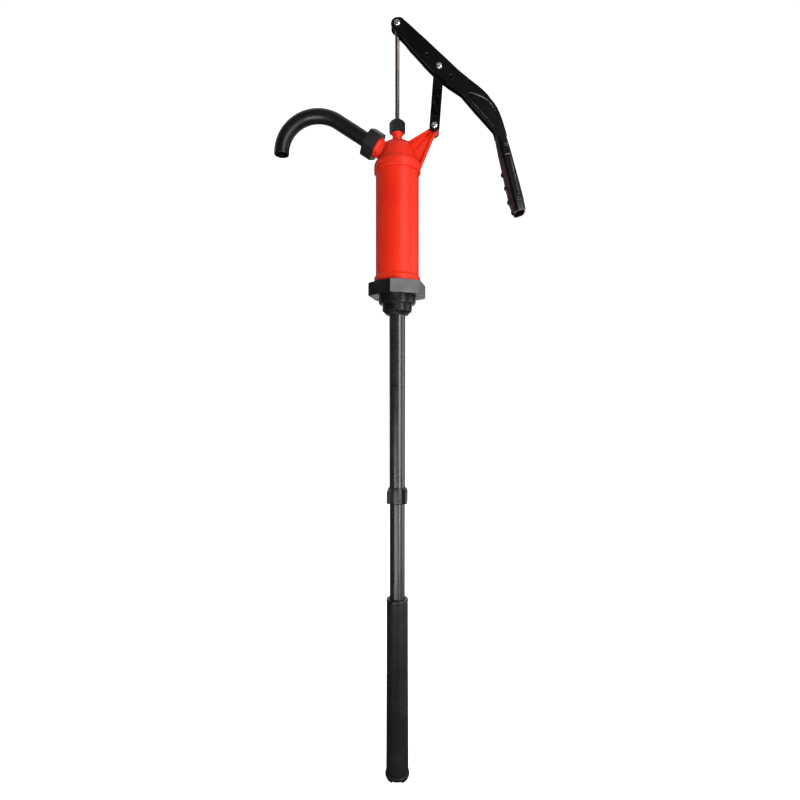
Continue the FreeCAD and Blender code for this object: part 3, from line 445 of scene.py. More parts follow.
def thread(name, radius, z_low, z_high, pitch=2.309, depth=1.15, gaps=(), seg=120, matrix=None):
    """Helical thread crests: a rounded ridge wound on a core, left out at the mould's flats."""
    prof = [(-0.62, -0.25), (-0.30, 0.70), (-0.12, 0.97), (0.12, 0.97), (0.30, 0.70), (0.62, -0.25)]
    turns = (z_high - z_low - 1.4) / pitch
    total = int(seg * turns)
    parts, run = [], []
    for i in range(total + 1):
        ang = TAU * i / seg
        z = z_low + 0.7 + pitch * ang / TAU
        deg = math.degrees(ang) % 360
        off = any(abs((deg - g + 180) % 360 - 180) < w for g, w in gaps)
        fade = min(1.0, i / 20, (total - i) / 20)
        if off:
            if len(run) > 1:
                parts.append(run)
            run = []
        else:
            near = min([abs((deg - g + 180) % 360 - 180) - w for g, w in gaps] + [9.0])
            run.append((ang, z, fade * min(1.0, 0.25 + near / 4.0)))
    if len(run) > 1:
        parts.append(run)
    verts, faces = [], []
    n = len(prof)
    for run in parts:
        base = len(verts)
        for ang, z, fade in run:
            for dz, h in prof:
                r = radius - depth + depth * h * fade if h > 0 else radius - depth - 0.3
                verts.append((r * math.cos(ang), r * math.sin(ang), z + dz * pitch * 0.72))
        for i in range(len(run) - 1):
            for k in range(n):
                m = (k + 1) % n
                faces.append((base + i * n + k, base + i * n + m, base + (i + 1) * n + m, base + (i + 1) * n + k))
        faces.append(tuple(base + k for k in range(n)))
        faces.append(tuple(base + (len(run) - 1) * n + k for k in range(n)))
    return new_object(name, verts, faces, matrix)


hex_part = hexagon(47.8, 0, 21, HEX_TURN, chamfer_top=None or (2.6, 1.0), chamfer_low=(1.4, 0.8), edge=0.7, name="adapter_hex")
hole = lathe("adapter_hole", [(0, 4), (34.7, 4), (34.7, 30), (0, 30)], 128)
boolean(hex_part, hole)
core = lathe("adapter_core", rounded([
    (13.02, -28.6), (13.02, 6.0), (28.65, 6.0), (28.65, -10.9, 0.4), (27.6, -12.0, 0.4), (22.75, -12.0, 0.5),
    (22.75, -22.6, 0.4), (21.6, -24.0, 0.5), (19.6, -25.6, 1.2), (17.4, -28.7, 0.8)]), 128)
FLAT = ((268.0, 9.0), (88.0, 9.0))
crest_a = thread("adapter_thread_a", 29.8, -11.6, -0.2, depth=1.15, gaps=FLAT)
crest_b = thread("adapter_thread_b", 23.9, -23.4, -12.2, depth=1.15, gaps=FLAT)
strip = []
for k, (radius, low, high) in enumerate(((28.65, -11.2, 0.3), (22.75, -23.0, -11.8))):
    for side in FLAT:
        a = math.radians(side[0])
        half = math.radians(side[1] - 1.5)
        outer = radius + 0.75
        verts, faces = [], []
        steps = 8
        for j in range(steps + 1):
            w = a - half + 2 * half * j / steps
            for r, z in ((radius - 0.5, low), (outer - 0.4, low), (outer, low + 0.4), (outer, high - 0.2), (radius - 0.5, high)):
                verts.append((r * math.cos(w), r * math.sin(w), z))
        for j in range(steps):
            for q in range(5):
                m = (q + 1) % 5
                faces.append((j * 5 + q, j * 5 + m, (j + 1) * 5 + m, (j + 1) * 5 + q))
        faces.append(tuple(range(5)))
        faces.append(tuple(range(steps * 5, steps * 5 + 5)))
        strip.append(new_object("flat_%d" % k, verts, faces))
adapter = join("bung_adapter_fine", [hex_part, core, crest_a, crest_b] + strip)
finish_mesh(adapter, "pump", ADAPTER, 35, replaces=["bung_adapter"], flats=True)

# ------------------------------------------------------------------ barrel
barrel = lathe("pump_barrel_fine", rounded([
    (31.5, 7.2), (34.5, 7.2), (34.5, 21.2), (36.9, 21.2), (36.95, 30.1, 1.0), (36.3, 31.3, 0.7), (35.0, 33.1, 1.4), (34.5, 35.2, 1.6),
    (34.45, 120), (34.5, 205.8), (31.5, 205.8)]), 160)
finish_mesh(barrel, "pump", RED, 32, replaces=["pump_barrel"])

# ------------------------------------------------------------------ pump head
U = Vector((-math.cos(math.radians(33.5)), 0, math.sin(math.radians(33.5))))
NUT = Vector((-39.5, 0, 245.4))
N = Vector((U.z, 0, -U.x))            # local X of the spout frame, up and to the right
SPOUT_FRAME = Matrix((
    (N.x, 0, U.x, NUT.x),
    (N.y, 1, U.y, NUT.y),
    (N.z, 0, U.z, NUT.z),
    (0, 0, 0, 1)))


def spout_world(x, y, z):
    return SPOUT_FRAME @ Vector((x, y, z))


dome = lathe("head_dome", rounded([
    (34.65, 197.2), (36.7, 197.2, 0.6), (37.35, 198.4, 0.6), (37.3, 200.0, 0.5), (36.75, 201.0, 0.6), (37.2, 203.2, 3.0), (37.2, 209.4, 3.0), (35.6, 213.4, 2.2),
    (33.6, 214.3, 0.7), (32.9, 211.2, 0.5), (30.35, 211.0, 0.4), (30.3, 216.8, 1.6), (28.9, 220.4, 5), (27.6, 225.5, 12), (25.9, 231.4, 12),
    (24.3, 236, 8), (22.5, 239.5, 4), (20.3, 241.9, 3), (17.4, 243.6, 3), (13.5, 245.1, 6), (9.4, 246.6, 1.2), (8.2, 247.8, 1.0), (7.75, 250.6, 3), (7.75, 256.6, 3),
    (8.3, 259.6, 1.5), (9.3, 261.9),
    (8.4, 261.9), (8.4, 271.8), (6.6, 271.8), (6.6, 258.1), (3.6, 258.1), (3.6, 246.0), (15.8, 239.0), (27.0, 214.0), (29.5, 208.1),
    (34.65, 208.1)]), 160)
neck = lathe("head_neck", rounded([
    (10, -30), (14.6, -30), (14.6, -14.6, 2.0), (16.3, -12.0, 1.2), (16.5, -0.2, 0.5), (10, -0.2)]), 96)
neck.data.transform(Matrix.Translation(NUT * MM) @ SPOUT_FRAME.to_3x3().to_4x4())
pieces = [dome, neck]
pieces.append(plate("bracket_web", rounded([
    (12, 243.5), (18.6, 246.9), (51.5, 266), (59, 273.2, 2), (66, 265), (60.2, 260), (54.3, 247.5), (38.3, 209.5), (36, 202), (24, 214), (16, 232)]),
    [], 0, 2.4, 0.3))
pieces.append(plate("bracket_top", rounded([
    (10.4, 242.8), (18.6, 247.6, 0.6), (51.5, 266.8, 2), (59.1, 272.2, 3), (56.4, 266.7), (52.8, 264.0, 0.6), (20.2, 245.0, 0.6), (12.0, 240.2)]),
    [], 0, 12.4, 0.6))
for flip in (1, -1):
    # the rim runs on over the shoulders to the neck, and on the other side down to the spout socket
    end = [(20.2, 246.2), (18.4, 244.7)] if flip == 1 else [(22.0, 245.7), (22.0, 243.2), (18.4, 244.7)]
    pieces.append(plate("neck_rim", [(x * flip, z) for x, z in rounded([(5, 252.2), (6.4, 251.7), (18.6, 247.1)] + end + [(6.4, 249.3), (5, 249.7)])],
                        [], 0, 12.3, 0.5))
pieces.append(plate("bracket_side", rounded([
    (61.0, 260.4, 1), (54.8, 247.5), (38.9, 209.5, 3), (36.3, 203.8), (33.0, 203.8), (33.2, 205.4), (36.1, 211.4, 0.6), (52.0, 249.2, 0.6),
    (57.2, 261.2), (59.1, 263.9)]), [], 0, 12.4, 0.6))
pieces.append(plate("bracket_rib_a", rounded([
    (53.2, 264.8, 0.6), (16.9, 240.7), (18.1, 239.1), (54.3, 263.1, 0.6)]), [], 0, 9.8, 0.85))
pieces.append(plate("bracket_rib_b", rounded([
    (54.7, 263.2, 0.6), (22.5, 226.0), (24.7, 224.4), (56.7, 261.2, 0.6)]), [], 0, 9.8, 1.2))
boss = lathe("bracket_boss", rounded([(3.6, -6.15), (8.1, -6.15, 0.5), (8.1, 6.15, 0.5), (3.6, 6.15)]), 64)
boss.data.transform(Matrix.Translation(Vector((59.1, 0, 267.7)) * MM) @ Matrix.Rotation(math.pi / 2, 4, "X"))
pieces.append(boss)
head = join("pump_head_fine", pieces)
finish_mesh(head, "pump", RED, 34, replaces=["pump_head"])

# ------------------------------------------------------------------ gland nut and union nut
gland = hexagon(12.8, 262, 283, 0.0, chamfer_top=(5.4, 4.6), chamfer_low=(0.9, 0.7), edge=0.5, name="gland_nut_fine")
boolean(gland, lathe("gland_hole", [(0, 261), (8.5, 261), (8.5, 273.5), (3.62, 273.5), (3.62, 284), (0, 284)], 64))
finish_mesh(gland, "pump", MATT, 32, replaces=["gland_nut"], flats=True)

union = hexagon(24.1, -9.85, 9.85, 0.0, chamfer_top=(1.5, 1.1), chamfer_low=(1.5, 1.1), edge=0.5, matrix=None, name="union_nut_fine")
boolean(union, lathe("union_hole", [(0, -11), (16.8, -11), (16.8, 4.9), (12.15, 4.9), (12.15, 11), (0, 11)], 96))
union.data.transform(Matrix.Translation(NUT * MM) @ SPOUT_FRAME.to_3x3().to_4x4())
finish_mesh(union, "pump", MATT, 32, replaces=["union_nut"], flats=True)

# ------------------------------------------------------------------ spout
BEND, RUN, TURN = 58.6556, 67.2397, math.radians(123.5)


def spout_path(start, stop_cut):
    out = []
    for s in np.linspace(start, RUN, 10)[:-1]:
        out.append((spout_world(0, 0, s), Vector((N.x, N.y, N.z)), Vector((0, 1, 0))))
    steps = 64
    for k in range(steps + 1):
        w = (TURN - stop_cut) * k / steps
        local = (-BEND + BEND * math.cos(w), 0, RUN + BEND * math.sin(w))
        point = spout_world(*local)
        radial = (spout_world(math.cos(w), 0, math.sin(w)) - spout_world(0, 0, 0)).normalized()
        out.append((point, radial, Vector((0, 1, 0))))
    point, radial, side = out[-1]
    for drop in (0.8, 2.0):
        out.append((point + Vector((0, 0, -drop)), radial, side))
    return out


def ring_section(r, n=64):
    return [(r * math.cos(TAU * k / n), r * math.sin(TAU * k / n)) for k in range(n)]


def tube_shell(name, path, outer, inner, lip=0.5, n=64):
    """Open tube with a rounded rim at its far end and a flat one at its near end."""
    verts, faces, rings = [], [], []

    def ring(point, na, nb, r):
        base = len(verts)
        for a, b in ring_section(r, n):
            verts.append(tuple(point + na * a + nb * b))
        rings.append(base)

    for point, na, nb in path:
        ring(point, na, nb, outer)
    last, na, nb = path[-1]
    direction = (path[-1][0] - path[-2][0]).normalized()
    mid = 0.5 * (outer + inner)
    half = 0.5 * (outer - inner)
    for j in range(1, 8):
        w = math.pi * j / 8
        ring(last + direction * (half * 0.75 * math.sin(w)), na, nb, mid + half * math.cos(w))
    for point, na, nb in reversed(path):
        ring(point, na, nb, inner)
    for i in range(len(rings)):
        a, b = rings[i], rings[(i + 1) % len(rings)]
        for k in range(n):
            m = (k + 1) % n
            faces.append((a + k, a + m, b + m, b + k))
    return new_object(name, verts, faces)


spout = tube_shell("spout_shell", spout_path(1.8, 0.0), 11.84, 9.85)
flange = lathe("spout_flange", rounded([(9.85, 1.75), (15.5, 1.75, 0.3), (15.5, 4.55, 0.3), (9.85, 4.55)]), 64)
flange.data.transform(Matrix.Translation(NUT * MM) @ SPOUT_FRAME.to_3x3().to_4x4())
spout = join("spout_tube_fine", [spout, flange])
finish_mesh(spout, "spout", SPOUT, 40, replaces=["spout_tube"])

# ------------------------------------------------------------------ suction tubes
tube_a = lathe("suction_tube_upper_fine", rounded([
    (10.2, -4.6), (12.9, -4.6), (12.9, -29), (12.62, -160), (12.4, -300), (12.4, -315.9), (10.2, -315.9)]), 96)
finish_mesh(tube_a, "pump", TUBE, 30, replaces=["suction_tube_upper"])
tube_b = lathe("suction_tube_lower_fine", rounded([
    (9.8, -318.1), (12.0, -318.1), (12.0, -460), (12.0, -599.4, 0.4), (11.4, -600, 0.3), (9.8, -600)]), 96)
finish_mesh(tube_b, "pump", TUBE, 30, replaces=["suction_tube_lower"])

coupler = lathe("coupler_round", rounded([
    (12.46, -305.6), (13.1, -303.3, 0.2), (13.6, -303.2, 0.3), (14.0, -307.4, 1.2), (14.0, -328.0, 0.6), (13.4, -329, 0.4), (12.06, -329), (12.06, -318.1),
    (10.6, -318.1), (10.6, -316), (12.46, -316)]), 96)
lugs = [coupler]
for k in range(4):
    lug = plate("lug", rounded([(13.2, -304.0), (14.2, -303.7, 0.5), (20.8, -308.1, 0.8), (20.85, -326.6, 0.8), (19.5, -327.9, 0.5), (13.2, -327.9)]),
                [], 0, 4.6, 0.6)
    lug.data.transform(Matrix.Rotation(math.pi / 4 + k * math.pi / 2, 4, "Z"))
    lugs.append(lug)
finish_mesh(join("tube_coupler_fine", lugs), "pump", ADAPTER, 34, replaces=["tube_coupler"])

sleeve = lathe("suction_sleeve_fine", rounded([
    (14.6, -486.1), (16.7, -486.1), (16.95, -490, 1.0), (17.15, -600), (17.8, -756.9), (14.6, -756.9)]), 112)
finish_mesh(sleeve, "sleeve", SLEEVE, 30, replaces=["suction_sleeve"])
collar = lathe("sleeve_collar_fine", rounded([
    (12.5, -481.1, 0.5), (16.8, -481.1, 0.5), (17.3, -482.0, 0.5), (17.3, -485.2, 0.4), (16.9, -486.05, 0.3), (14.5, -486.05), (14.5, -494), (12.3, -494),
    (12.3, -491), (13.4, -491), (13.4, -488), (12.3, -488)]), 112)
finish_mesh(collar, "sleeve", ADAPTER, 34, replaces=["sleeve_collar"])

foot = lathe("foot_round", rounded([
    (13.4, -747.1), (14.5, -747.1), (14.5, -756.95), (18.75, -756.95, 0.6), (19.35, -758.8, 1.2), (19.35, -761.3, 1.5),
    (17.3, -765.95, 0.6), (14.2, -765.95, 0.4), (14.2, -762), (13.4, -760)]), 128)
for k in range(2):
    cutter = new_object("slot_cut", [(x, y, z) for x in (-22, 22) for y in (-7.5, 7.5) for z in (-768, -762.5)],
                        [(0, 1, 3, 2), (4, 6, 7, 5), (0, 4, 5, 1), (2, 3, 7, 6), (0, 2, 6, 4), (1, 5, 7, 3)])
    bevel(cutter, 0.5, 3, 30)
    cutter.data.transform(Matrix.Rotation(k * math.pi / 2, 4, "Z"))
    boolean(foot, cutter)
foot.name = "foot_strainer_fine"
finish_mesh(foot, "sleeve", SLEEVE, 34, replaces=["foot_strainer"])

# ------------------------------------------------------------------ lever
TOP = [(12.5, 437.9), (19.6, 431.6), (32.9, 418.9), (46.7, 406.2), (63.2, 390.2), (80, 374.2), (96.4, 358.2), (115, 342.3),
       (125.2, 334.2), (134.5, 326.4), (142, 319), (148.2, 310.7), (154.2, 303), (159, 295.1), (161.9, 288.8), (164.4, 281.9),
       (167.5, 273), (170.2, 263.7), (173.3, 252.9)]
LOW = [(155.2, 250.6), (154.4, 256), (152.9, 261.9), (146.2, 269.7), (122.6, 296.6), (111.2, 310.3), (102.5, 320.5), (100.6, 322.4),
       (83.4, 334), (69.5, 344.8), (56.8, 356.4), (44.7, 368.9), (31.4, 384.3), (24.1, 392.1), (18.2, 399), (11.6, 407.8), (4, 415.3)]
EAR = [(-1.8, 420.6, 3), (-5.0, 424.9, 1.5)]
EAR += [(9.9 * math.cos(math.radians(a)), 433.5 + 9.9 * math.sin(math.radians(a)), 0) for a in range(228, 84, -12)]
EAR += [(4.5, 443.5, 2), (7.8, 442.4, 2)]
outline = rounded([(x, z, 8.0) for x, z in TOP] + [(x, z, 3.0 if 95 < x < 118 or x > 150 else 8.0) for x, z in LOW] + EAR)
panel = rounded([
    (113.6, 321.6, 1.2), (121, 319.8, 8), (129.5, 316.8, 8), (137.5, 312.8, 8), (144.2, 307.6, 8), (150.0, 300.2, 8), (154.4, 291.6, 8),
    (157.2, 281.0, 8), (158.2, 270.0, 3), (156.2, 264.9, 1.2), (152.4, 266.7, 2), (125.2, 298.0), (110.4, 316.2, 1.2)])
EYES = [circle(0, 433.5, 2.55), circle(66.3, 363.9, 2.55), circle(47.7, 381.8, 2.3), circle(85.5, 346.7, 2.3)]


def mirrored(objs):
    out = []
    for o in objs:
        copy = bpy.data.objects.new(o.name + "_b", o.data.copy())
        scene.collection.objects.link(copy)
        copy.data.transform(Matrix.Scale(-1, 4, (0, 1, 0)))
        copy.data.flip_normals()
        out.append(copy)
    return out


side = [plate("lever_plate", outline, EYES, -5.85, 2.2, 0.3),
        plate("lever_face", outline, EYES + [panel], -7.15, 1.2, 0.55)]
for x, z in ((47.7, 381.8), (85.5, 346.7)):
    ring = lathe("eye_ring", rounded([(2.35, -0.9), (4.3, -0.9), (4.3, 0.3, 0.4), (3.7, 0.6, 0.3), (2.9, 0.0, 0.3), (2.35, 0.0)]), 40)
    ring.data.transform(Matrix.Translation(Vector((x, -7.75, z)) * MM) @ Matrix.Rotation(math.pi / 2, 4, "X"))
    side.append(ring)
lip = rounded([(112.6, 322.6), (121, 320.9, 8), (129.7, 317.8, 8), (138.1, 313.6, 8), (145.0, 308.2, 8), (150.9, 300.7, 8), (155.4, 291.9, 8), (157.6, 284)], 0.5)
lip = [Vector(p) for p in lip][:-1]
strip_v, strip_f = [], []
for i, p in enumerate(lip):
    d = (lip[min(i + 1, len(lip) - 1)] - lip[max(i - 1, 0)]).normalized()
    inward = Vector((d.y, -d.x))
    if inward.dot(Vector((130, 295)) - p) < 0:
        inward = -inward
    taper = max(0.05, min(1.0, i / 5.0, (len(lip) - 1 - i) / 14.0))
    a, b, c = p + inward * 0.75, p + inward * (0.75 + 1.7 * taper), p + inward * 1.2
    strip_v += [(a.x, -7.84, a.y), (b.x, -7.84 + 0.95 * taper, b.y), (c.x, -6.6, c.y)]
for i in range(len(lip) - 1):
    for j in range(3):
        m = (j + 1) % 3
        strip_f.append((3 * i + j, 3 * i + m, 3 * i + 3 + m, 3 * i + 3 + j))
strip_f += [(0, 1, 2), (3 * len(lip) - 3, 3 * len(lip) - 2, 3 * len(lip) - 1)]
# the panel lip and the lower edge strip below are painted lighter as highlights
painted_glint_pieces = [new_object("panel_lip", strip_v, strip_f)]
low_edge = [Vector(q) for q in ((115.5, 309.6), (125.0, 298.6), (152.2, 267.3))]
fall = (low_edge[2] - low_edge[1]).normalized()
rise = Vector((-fall.y, fall.x))
if rise.dot(Vector((140, 295)) - low_edge[1]) < 0:
    rise = -rise
edge_v, edge_f = [], []
for k, q in enumerate(low_edge):
    thin = (0.25, 0.62, 0.30)[k]
    for off, y in ((0.15, -7.0), (0.15 + thin, -7.0), (0.15 + thin, -7.55), (0.15, -7.85)):
        edge_v.append((q.x + rise.x * off, y, q.y + rise.y * off))
for k in range(2):
    for j in range(4):
        m = (j + 1) % 4
        edge_f.append((4 * k + j, 4 * k + m, 4 * k + 4 + m, 4 * k + 4 + j))
edge_f += [(0, 1, 2, 3), (8, 9, 10, 11)]
painted_glint_pieces.append(new_object("panel_edge", edge_v, edge_f))
for k in range(5):
    off = 4.2 + 4.6 * k
    d = Vector((31.4, -36.2)).normalized()
    nrm = Vector((-d.y, d.x))
    a = Vector((123.4, 297.3)) + nrm * off - d * (10.0 - 3.2 * k + (0.4 * k * k))
    b = Vector((154.8, 261.3)) + nrm * off - d * (2.6 + 1.2 * k + 1.3 * k * k)
    a += d * (2.0 * k)
    w = nrm * 0.55
    side.append(plate("panel_rib", [tuple(a - w), tuple(b - w), tuple(b + w), tuple(a + w)], [], -6.95, 0.7, 0.18, 2))
plates = side + mirrored(side)
painted_glint_pieces += mirrored(painted_glint_pieces)
INNER = [(x - 2.35 * 0.9, z - 2.5 * 0.9) if x < 126 else (x - 3.1, z - 1.0) for x, z in TOP[:-1]]
web_loop = [(-3.0, 442.6), (0, 443.1), (4.5, 443.2), (7.6, 442.2)] + TOP[:-1] + list(reversed(INNER)) + [(8.0, 438.2), (4, 439.3), (-2.0, 439.3)]
plates.append(plate("lever_web", web_loop, [], 0, 14.6, 0.3))
plates.append(plate("lever_elbow", [(173.3, 252.9), (170.4, 263.7), (155.6, 258.5), (155.2, 250.6)], [], 0, 14.6, 0.3))
for loop in ([(16.6, 404.6), (18.2, 403.4), (27.6, 413.6), (24.6, 425), (22.8, 424.4), (25.4, 414.6)],
             [(118, 304.6), (119.6, 303), (138.5, 321), (137, 322.6)],
             [(147, 271.5), (148.6, 270), (163.6, 277), (163, 279)]):
    plates.append(plate("lever_cross", loop, [], 0, 12.0, 0.3))

# grip: a ruled loft of rounded sections down the handle's axis
GD = Vector((math.sin(math.radians(13.5)), 0, -math.cos(math.radians(13.5))))
GN = Vector((-GD.z, 0, GD.x))            # square to the axis, away from the fingers
GA = Vector((162.9, 0, 255.0))
SECTION = [(0.5, -0.31), (0.44, -0.455), (0.36, -0.5), (-0.1, -0.5), (-0.3, -0.41), (-0.45, -0.23), (-0.5, 0),
           (-0.45, 0.23), (-0.3, 0.41), (-0.1, 0.5), (0.36, 0.5), (0.44, 0.455), (0.5, 0.31)]
SOFT = [3.0, 2.0, 2.0, 0.7, 6.0, 6.0, 6.0, 6.0, 6.0, 0.7, 2.0, 2.0, 3.0]
STATIONS = [(0.0, 18.0, 15.5), (30.0, 20.5, 18.5), (72.0, 21.7, 24.0), (127.1, 24.0, 27.0)]
TIP = math.tan(math.radians(8))


def station(along):
    for (s0, w0, d0), (s1, w1, d1) in zip(STATIONS, STATIONS[1:]):
        if along <= s1 or s1 == STATIONS[-1][0]:
            t = (along - s0) / (s1 - s0)
            return w0 + (w1 - w0) * t, d0 + (d1 - d0) * t


def grip_loop(along, shrink=0.0):
    wide, deep = station(along)
    flat = [(fx * (wide - 2 * shrink), fy * (deep - 2 * shrink), r * (1.0 if not shrink else 0.8)) for (fx, fy), r in zip(SECTION, SOFT)]
    loop = [Vector(p) for p in rounded(flat, fixed=5)]
    cut = 0.28 * max(0.0, min(1.0, (along - 112.0) / 14.0))
    oval = 0.8 * max(0.0, min(1.0, (along - 104.0) / 22.0))
    for p in loop:
        if p.x < 0:
            p.x *= 1.0 - cut
    if oval:
        half = Vector((wide / 2 - shrink, deep / 2 - shrink))
        for i, p in enumerate(loop):
            back = half.x * (1.0 - cut) if p.x < 0 else half.x
            w = math.atan2(p.y / half.y, p.x / back)
            loop[i] = p.lerp(Vector((back * math.cos(w), half.y * math.sin(w))), oval)
    return loop


def grip_point(along, x, y, tip=False):
    base = GA + GD * along + GN * x + Vector((0, y, 0))
    return base + GD * (TIP * y) if tip else base


verts, faces, rings = [], [], []


def grip_ring(along, shrink, push=0.0, tip=False):
    loop = grip_loop(min(along, 127.1), shrink)
    rings.append((len(verts), len(loop)))
    for p in loop:
        verts.append(tuple(grip_point(along + push, p.x, p.y, tip)))


steps = [0, 8, 16, 24, 30, 40, 50, 60, 72, 84, 96, 108, 118, 124]
for along in steps:
    grip_ring(along, 0.0)
# blend to the slanted open end
for along in (125.4,):
    grip_ring(along, 0.0, 0.0, True)
for j in range(1, 7):
    w = math.pi * j / 7
    grip_ring(126.0, 1.1 - 1.1 * math.cos(w), 1.0 * math.sin(w), True)
for along in (120, 100, 80, 60, 40, 24):
    grip_ring(along, 2.2, 0.0, along > 110)
for (a, na), (b, nb) in zip(rings, rings[1:]):
    if na != nb:
        raise RuntimeError("grip sections differ")
    for k in range(na):
        m = (k + 1) % na
        faces.append((a + k, a + m, b + m, b + k))
faces.append(tuple(range(rings[0][0], rings[0][0] + rings[0][1])))
faces.append(tuple(range(rings[-1][0], rings[-1][0] + rings[-1][1])))
grip = new_object("lever_grip", verts, faces)
plates.append(grip)
GRIP_FRAME = Matrix(((GN.x, 0, GD.x, 0), (GN.y, 1, GD.y, 0), (GN.z, 0, GD.z, 0), (0, 0, 0, 1)))


def ellipsoid(name, centre, sx, sy, sz, nu=24, nv=14):
    verts, faces = [], []
    turn = GRIP_FRAME.to_3x3()
    for i in range(nv + 1):
        th = math.pi * i / nv
        for k in range(nu):
            ph = TAU * k / nu
            verts.append(tuple(centre + turn @ Vector((sx * math.sin(th) * math.cos(ph), sy * math.sin(th) * math.sin(ph), sz * math.cos(th)))))
    for i in range(nv):
        for k in range(nu):
            m = (k + 1) % nu
            faces.append((i * nu + k, i * nu + m, (i + 1) * nu + m, (i + 1) * nu + k))
    return new_object(name, verts, faces)


for x, z, size in ((168.3, 193.4, 4.1), (173.3, 172.4, 4.1), (178.9, 149.9, 4.7), (184.5, 133.2, 4.0)):
    plates.append(ellipsoid("finger_bump", Vector((x, 0, z)), size, size * 1.5, size * 1.05))
for side_y in (-1, 1):
    # two ejector bosses, the step bars, and the beaded line; the bosses, the first bar and the beads get a lighter
    # nylon as a painted highlight
    for along, x, r in ((18.5, 4.4, 2.6), (108.0, 3.5, 2.6)):
        deep = station(along)[1]
        disc = lathe("grip_disc", rounded([(r - 0.55, -0.6), (r, -0.6), (r, 0.30, 0.2), (r - 0.55, 0.30, 0.2)]), 32)
        disc.data.transform(Matrix.Translation(grip_point(along, x, side_y * deep / 2) * MM) @ Matrix.Rotation(side_y * -math.pi / 2 + math.pi, 4, "X"))
        painted_glint_pieces.append(disc)
    for along, x0, x1, high in ((34.0, -1.2, 7.0, 0.34), (37.0, -1.2, 7.0, 0.30), (41.5, -1.4, 4.2, 0.22)):
        deep = station(along)[1]
        y = side_y * deep / 2
        pts = []
        for dx in (x0, x1):
            for da in (-0.75, 0.75):
                for dy in (-0.5, high):
                    pts.append(tuple(grip_point(along + da + (0.35 if dx == x1 else 0), dx, y + side_y * dy)))
        bar = new_object("grip_bar", pts, [(0, 1, 3, 2), (4, 6, 7, 5), (0, 4, 5, 1), (2, 3, 7, 6), (0, 2, 6, 4), (1, 5, 7, 3)])
        bevel(bar, 0.18, 2, 30)
        (painted_glint_pieces if along < 35 else plates).append(bar)
    for k in range(24):
        along = 40.0 + 2.62 * k
        wide, deep = station(along)
        painted_glint_pieces.append(ellipsoid("grip_bead", grip_point(along, (0.30 - 0.0045 * k) * wide, side_y * (deep / 2 - 0.02)), 0.75, 0.40, 0.78, 10, 6))
# the rim of the open end, painted lighter as a highlight
base = len(rings)
verts, faces, rings = [], [], []
for shrink, push in ((0.12, 0.60), (0.5, 1.04), (1.1, 1.16), (1.7, 1.04), (2.1, 0.60), (1.1, 0.2)):
    grip_ring(126.0, shrink, push, True)
for i in range(len(rings)):
    (a, na), (b, nb) = rings[i], rings[(i + 1) % len(rings)]
    for k in range(na):
        m = (k + 1) % na
        faces.append((a + k, a + m, b + m, b + k))
painted_glint_pieces.append(new_object("grip_rim", verts, faces))
# these pieces get the lighter nylon as a painted highlight
lip = join("lever_painted_highlights", painted_glint_pieces)
finish_mesh(lip, "lever", PAINTED_HIGHLIGHT, 34)
lever = join("lever_arm_fine", plates)
finish_mesh(lever, "lever", BLACK, 34, replaces=["lever_arm"], flats=True)
# painted light: faces on the grip's left-facing side get the lighter nylon, as if lit from the left
lever.data.materials.append(PAINTED_LIT_SIDE)
for poly in lever.data.polygons:
    at = Vector(poly.center) / MM - GA
    along, across = at.dot(GD), at.dot(GN)
    if 2.0 < along < 126.0 and across < -0.25 * station(min(along, 127.0))[0] and -0.985 < poly.normal.dot(GN) < -0.50:
        if abs(across) > 0.5 * station(min(along, 127.0))[0] * (1.0 - 0.28 * max(0.0, min(1.0, (along - 112.0) / 14.0))) * 0.5:
            poly.material_index = 1

# ------------------------------------------------------------------ link
link = refined("link_arm", 0.45, 2, 30)
link.name = "link_arm_fine"
finish_mesh(link, "link", BLACK, 34, replaces=["link_arm"], flats=True)

# ------------------------------------------------------------------ rod and screws
rod = refined("piston_rod", 0.25, 2, 30)
finish_mesh(rod, "plunger", STEEL, 34, replaces=["piston_rod"])
for node, body in (("rod_pin_screw", "lever"), ("link_pin_screw", "lever"), ("fulcrum_screw", "pump"),
                   ("rod_pin_nut", "lever"), ("link_pin_nut", "lever"), ("fulcrum_nut", "pump")):
    finish_mesh(refined(node, 0.22, 2, 30), body, ZINC, 34, replaces=[node])

# ------------------------------------------------------------------ inner pieces keep their CAD shape
INNER_LOOK = {
    "barrel_gasket": RUBBER, "head_o_ring": RUBBER, "gland_packing": ACETAL, "gland_washer": ACETAL, "foot_valve_seat": ACETAL,
    "foot_valve_cage": ACETAL, "foot_valve_disc": RUBBER, "tube_end_ring": ACETAL, "sleeve_o_ring": RUBBER, "strainer_screen": STEEL,
    "spout_gasket": RUBBER, "piston_body": ACETAL, "piston_seal": RUBBER, "piston_valve_disc": RUBBER, "piston_valve_stop": ACETAL,
    "piston_washer": STEEL, "piston_nut": STEEL, "fulcrum_bush": STEEL}
for node, mat in INNER_LOOK.items():
    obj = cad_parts[node]
    if not obj.material_slots:
        obj.data.materials.append(mat)
    for s in obj.material_slots:
        s.material = mat

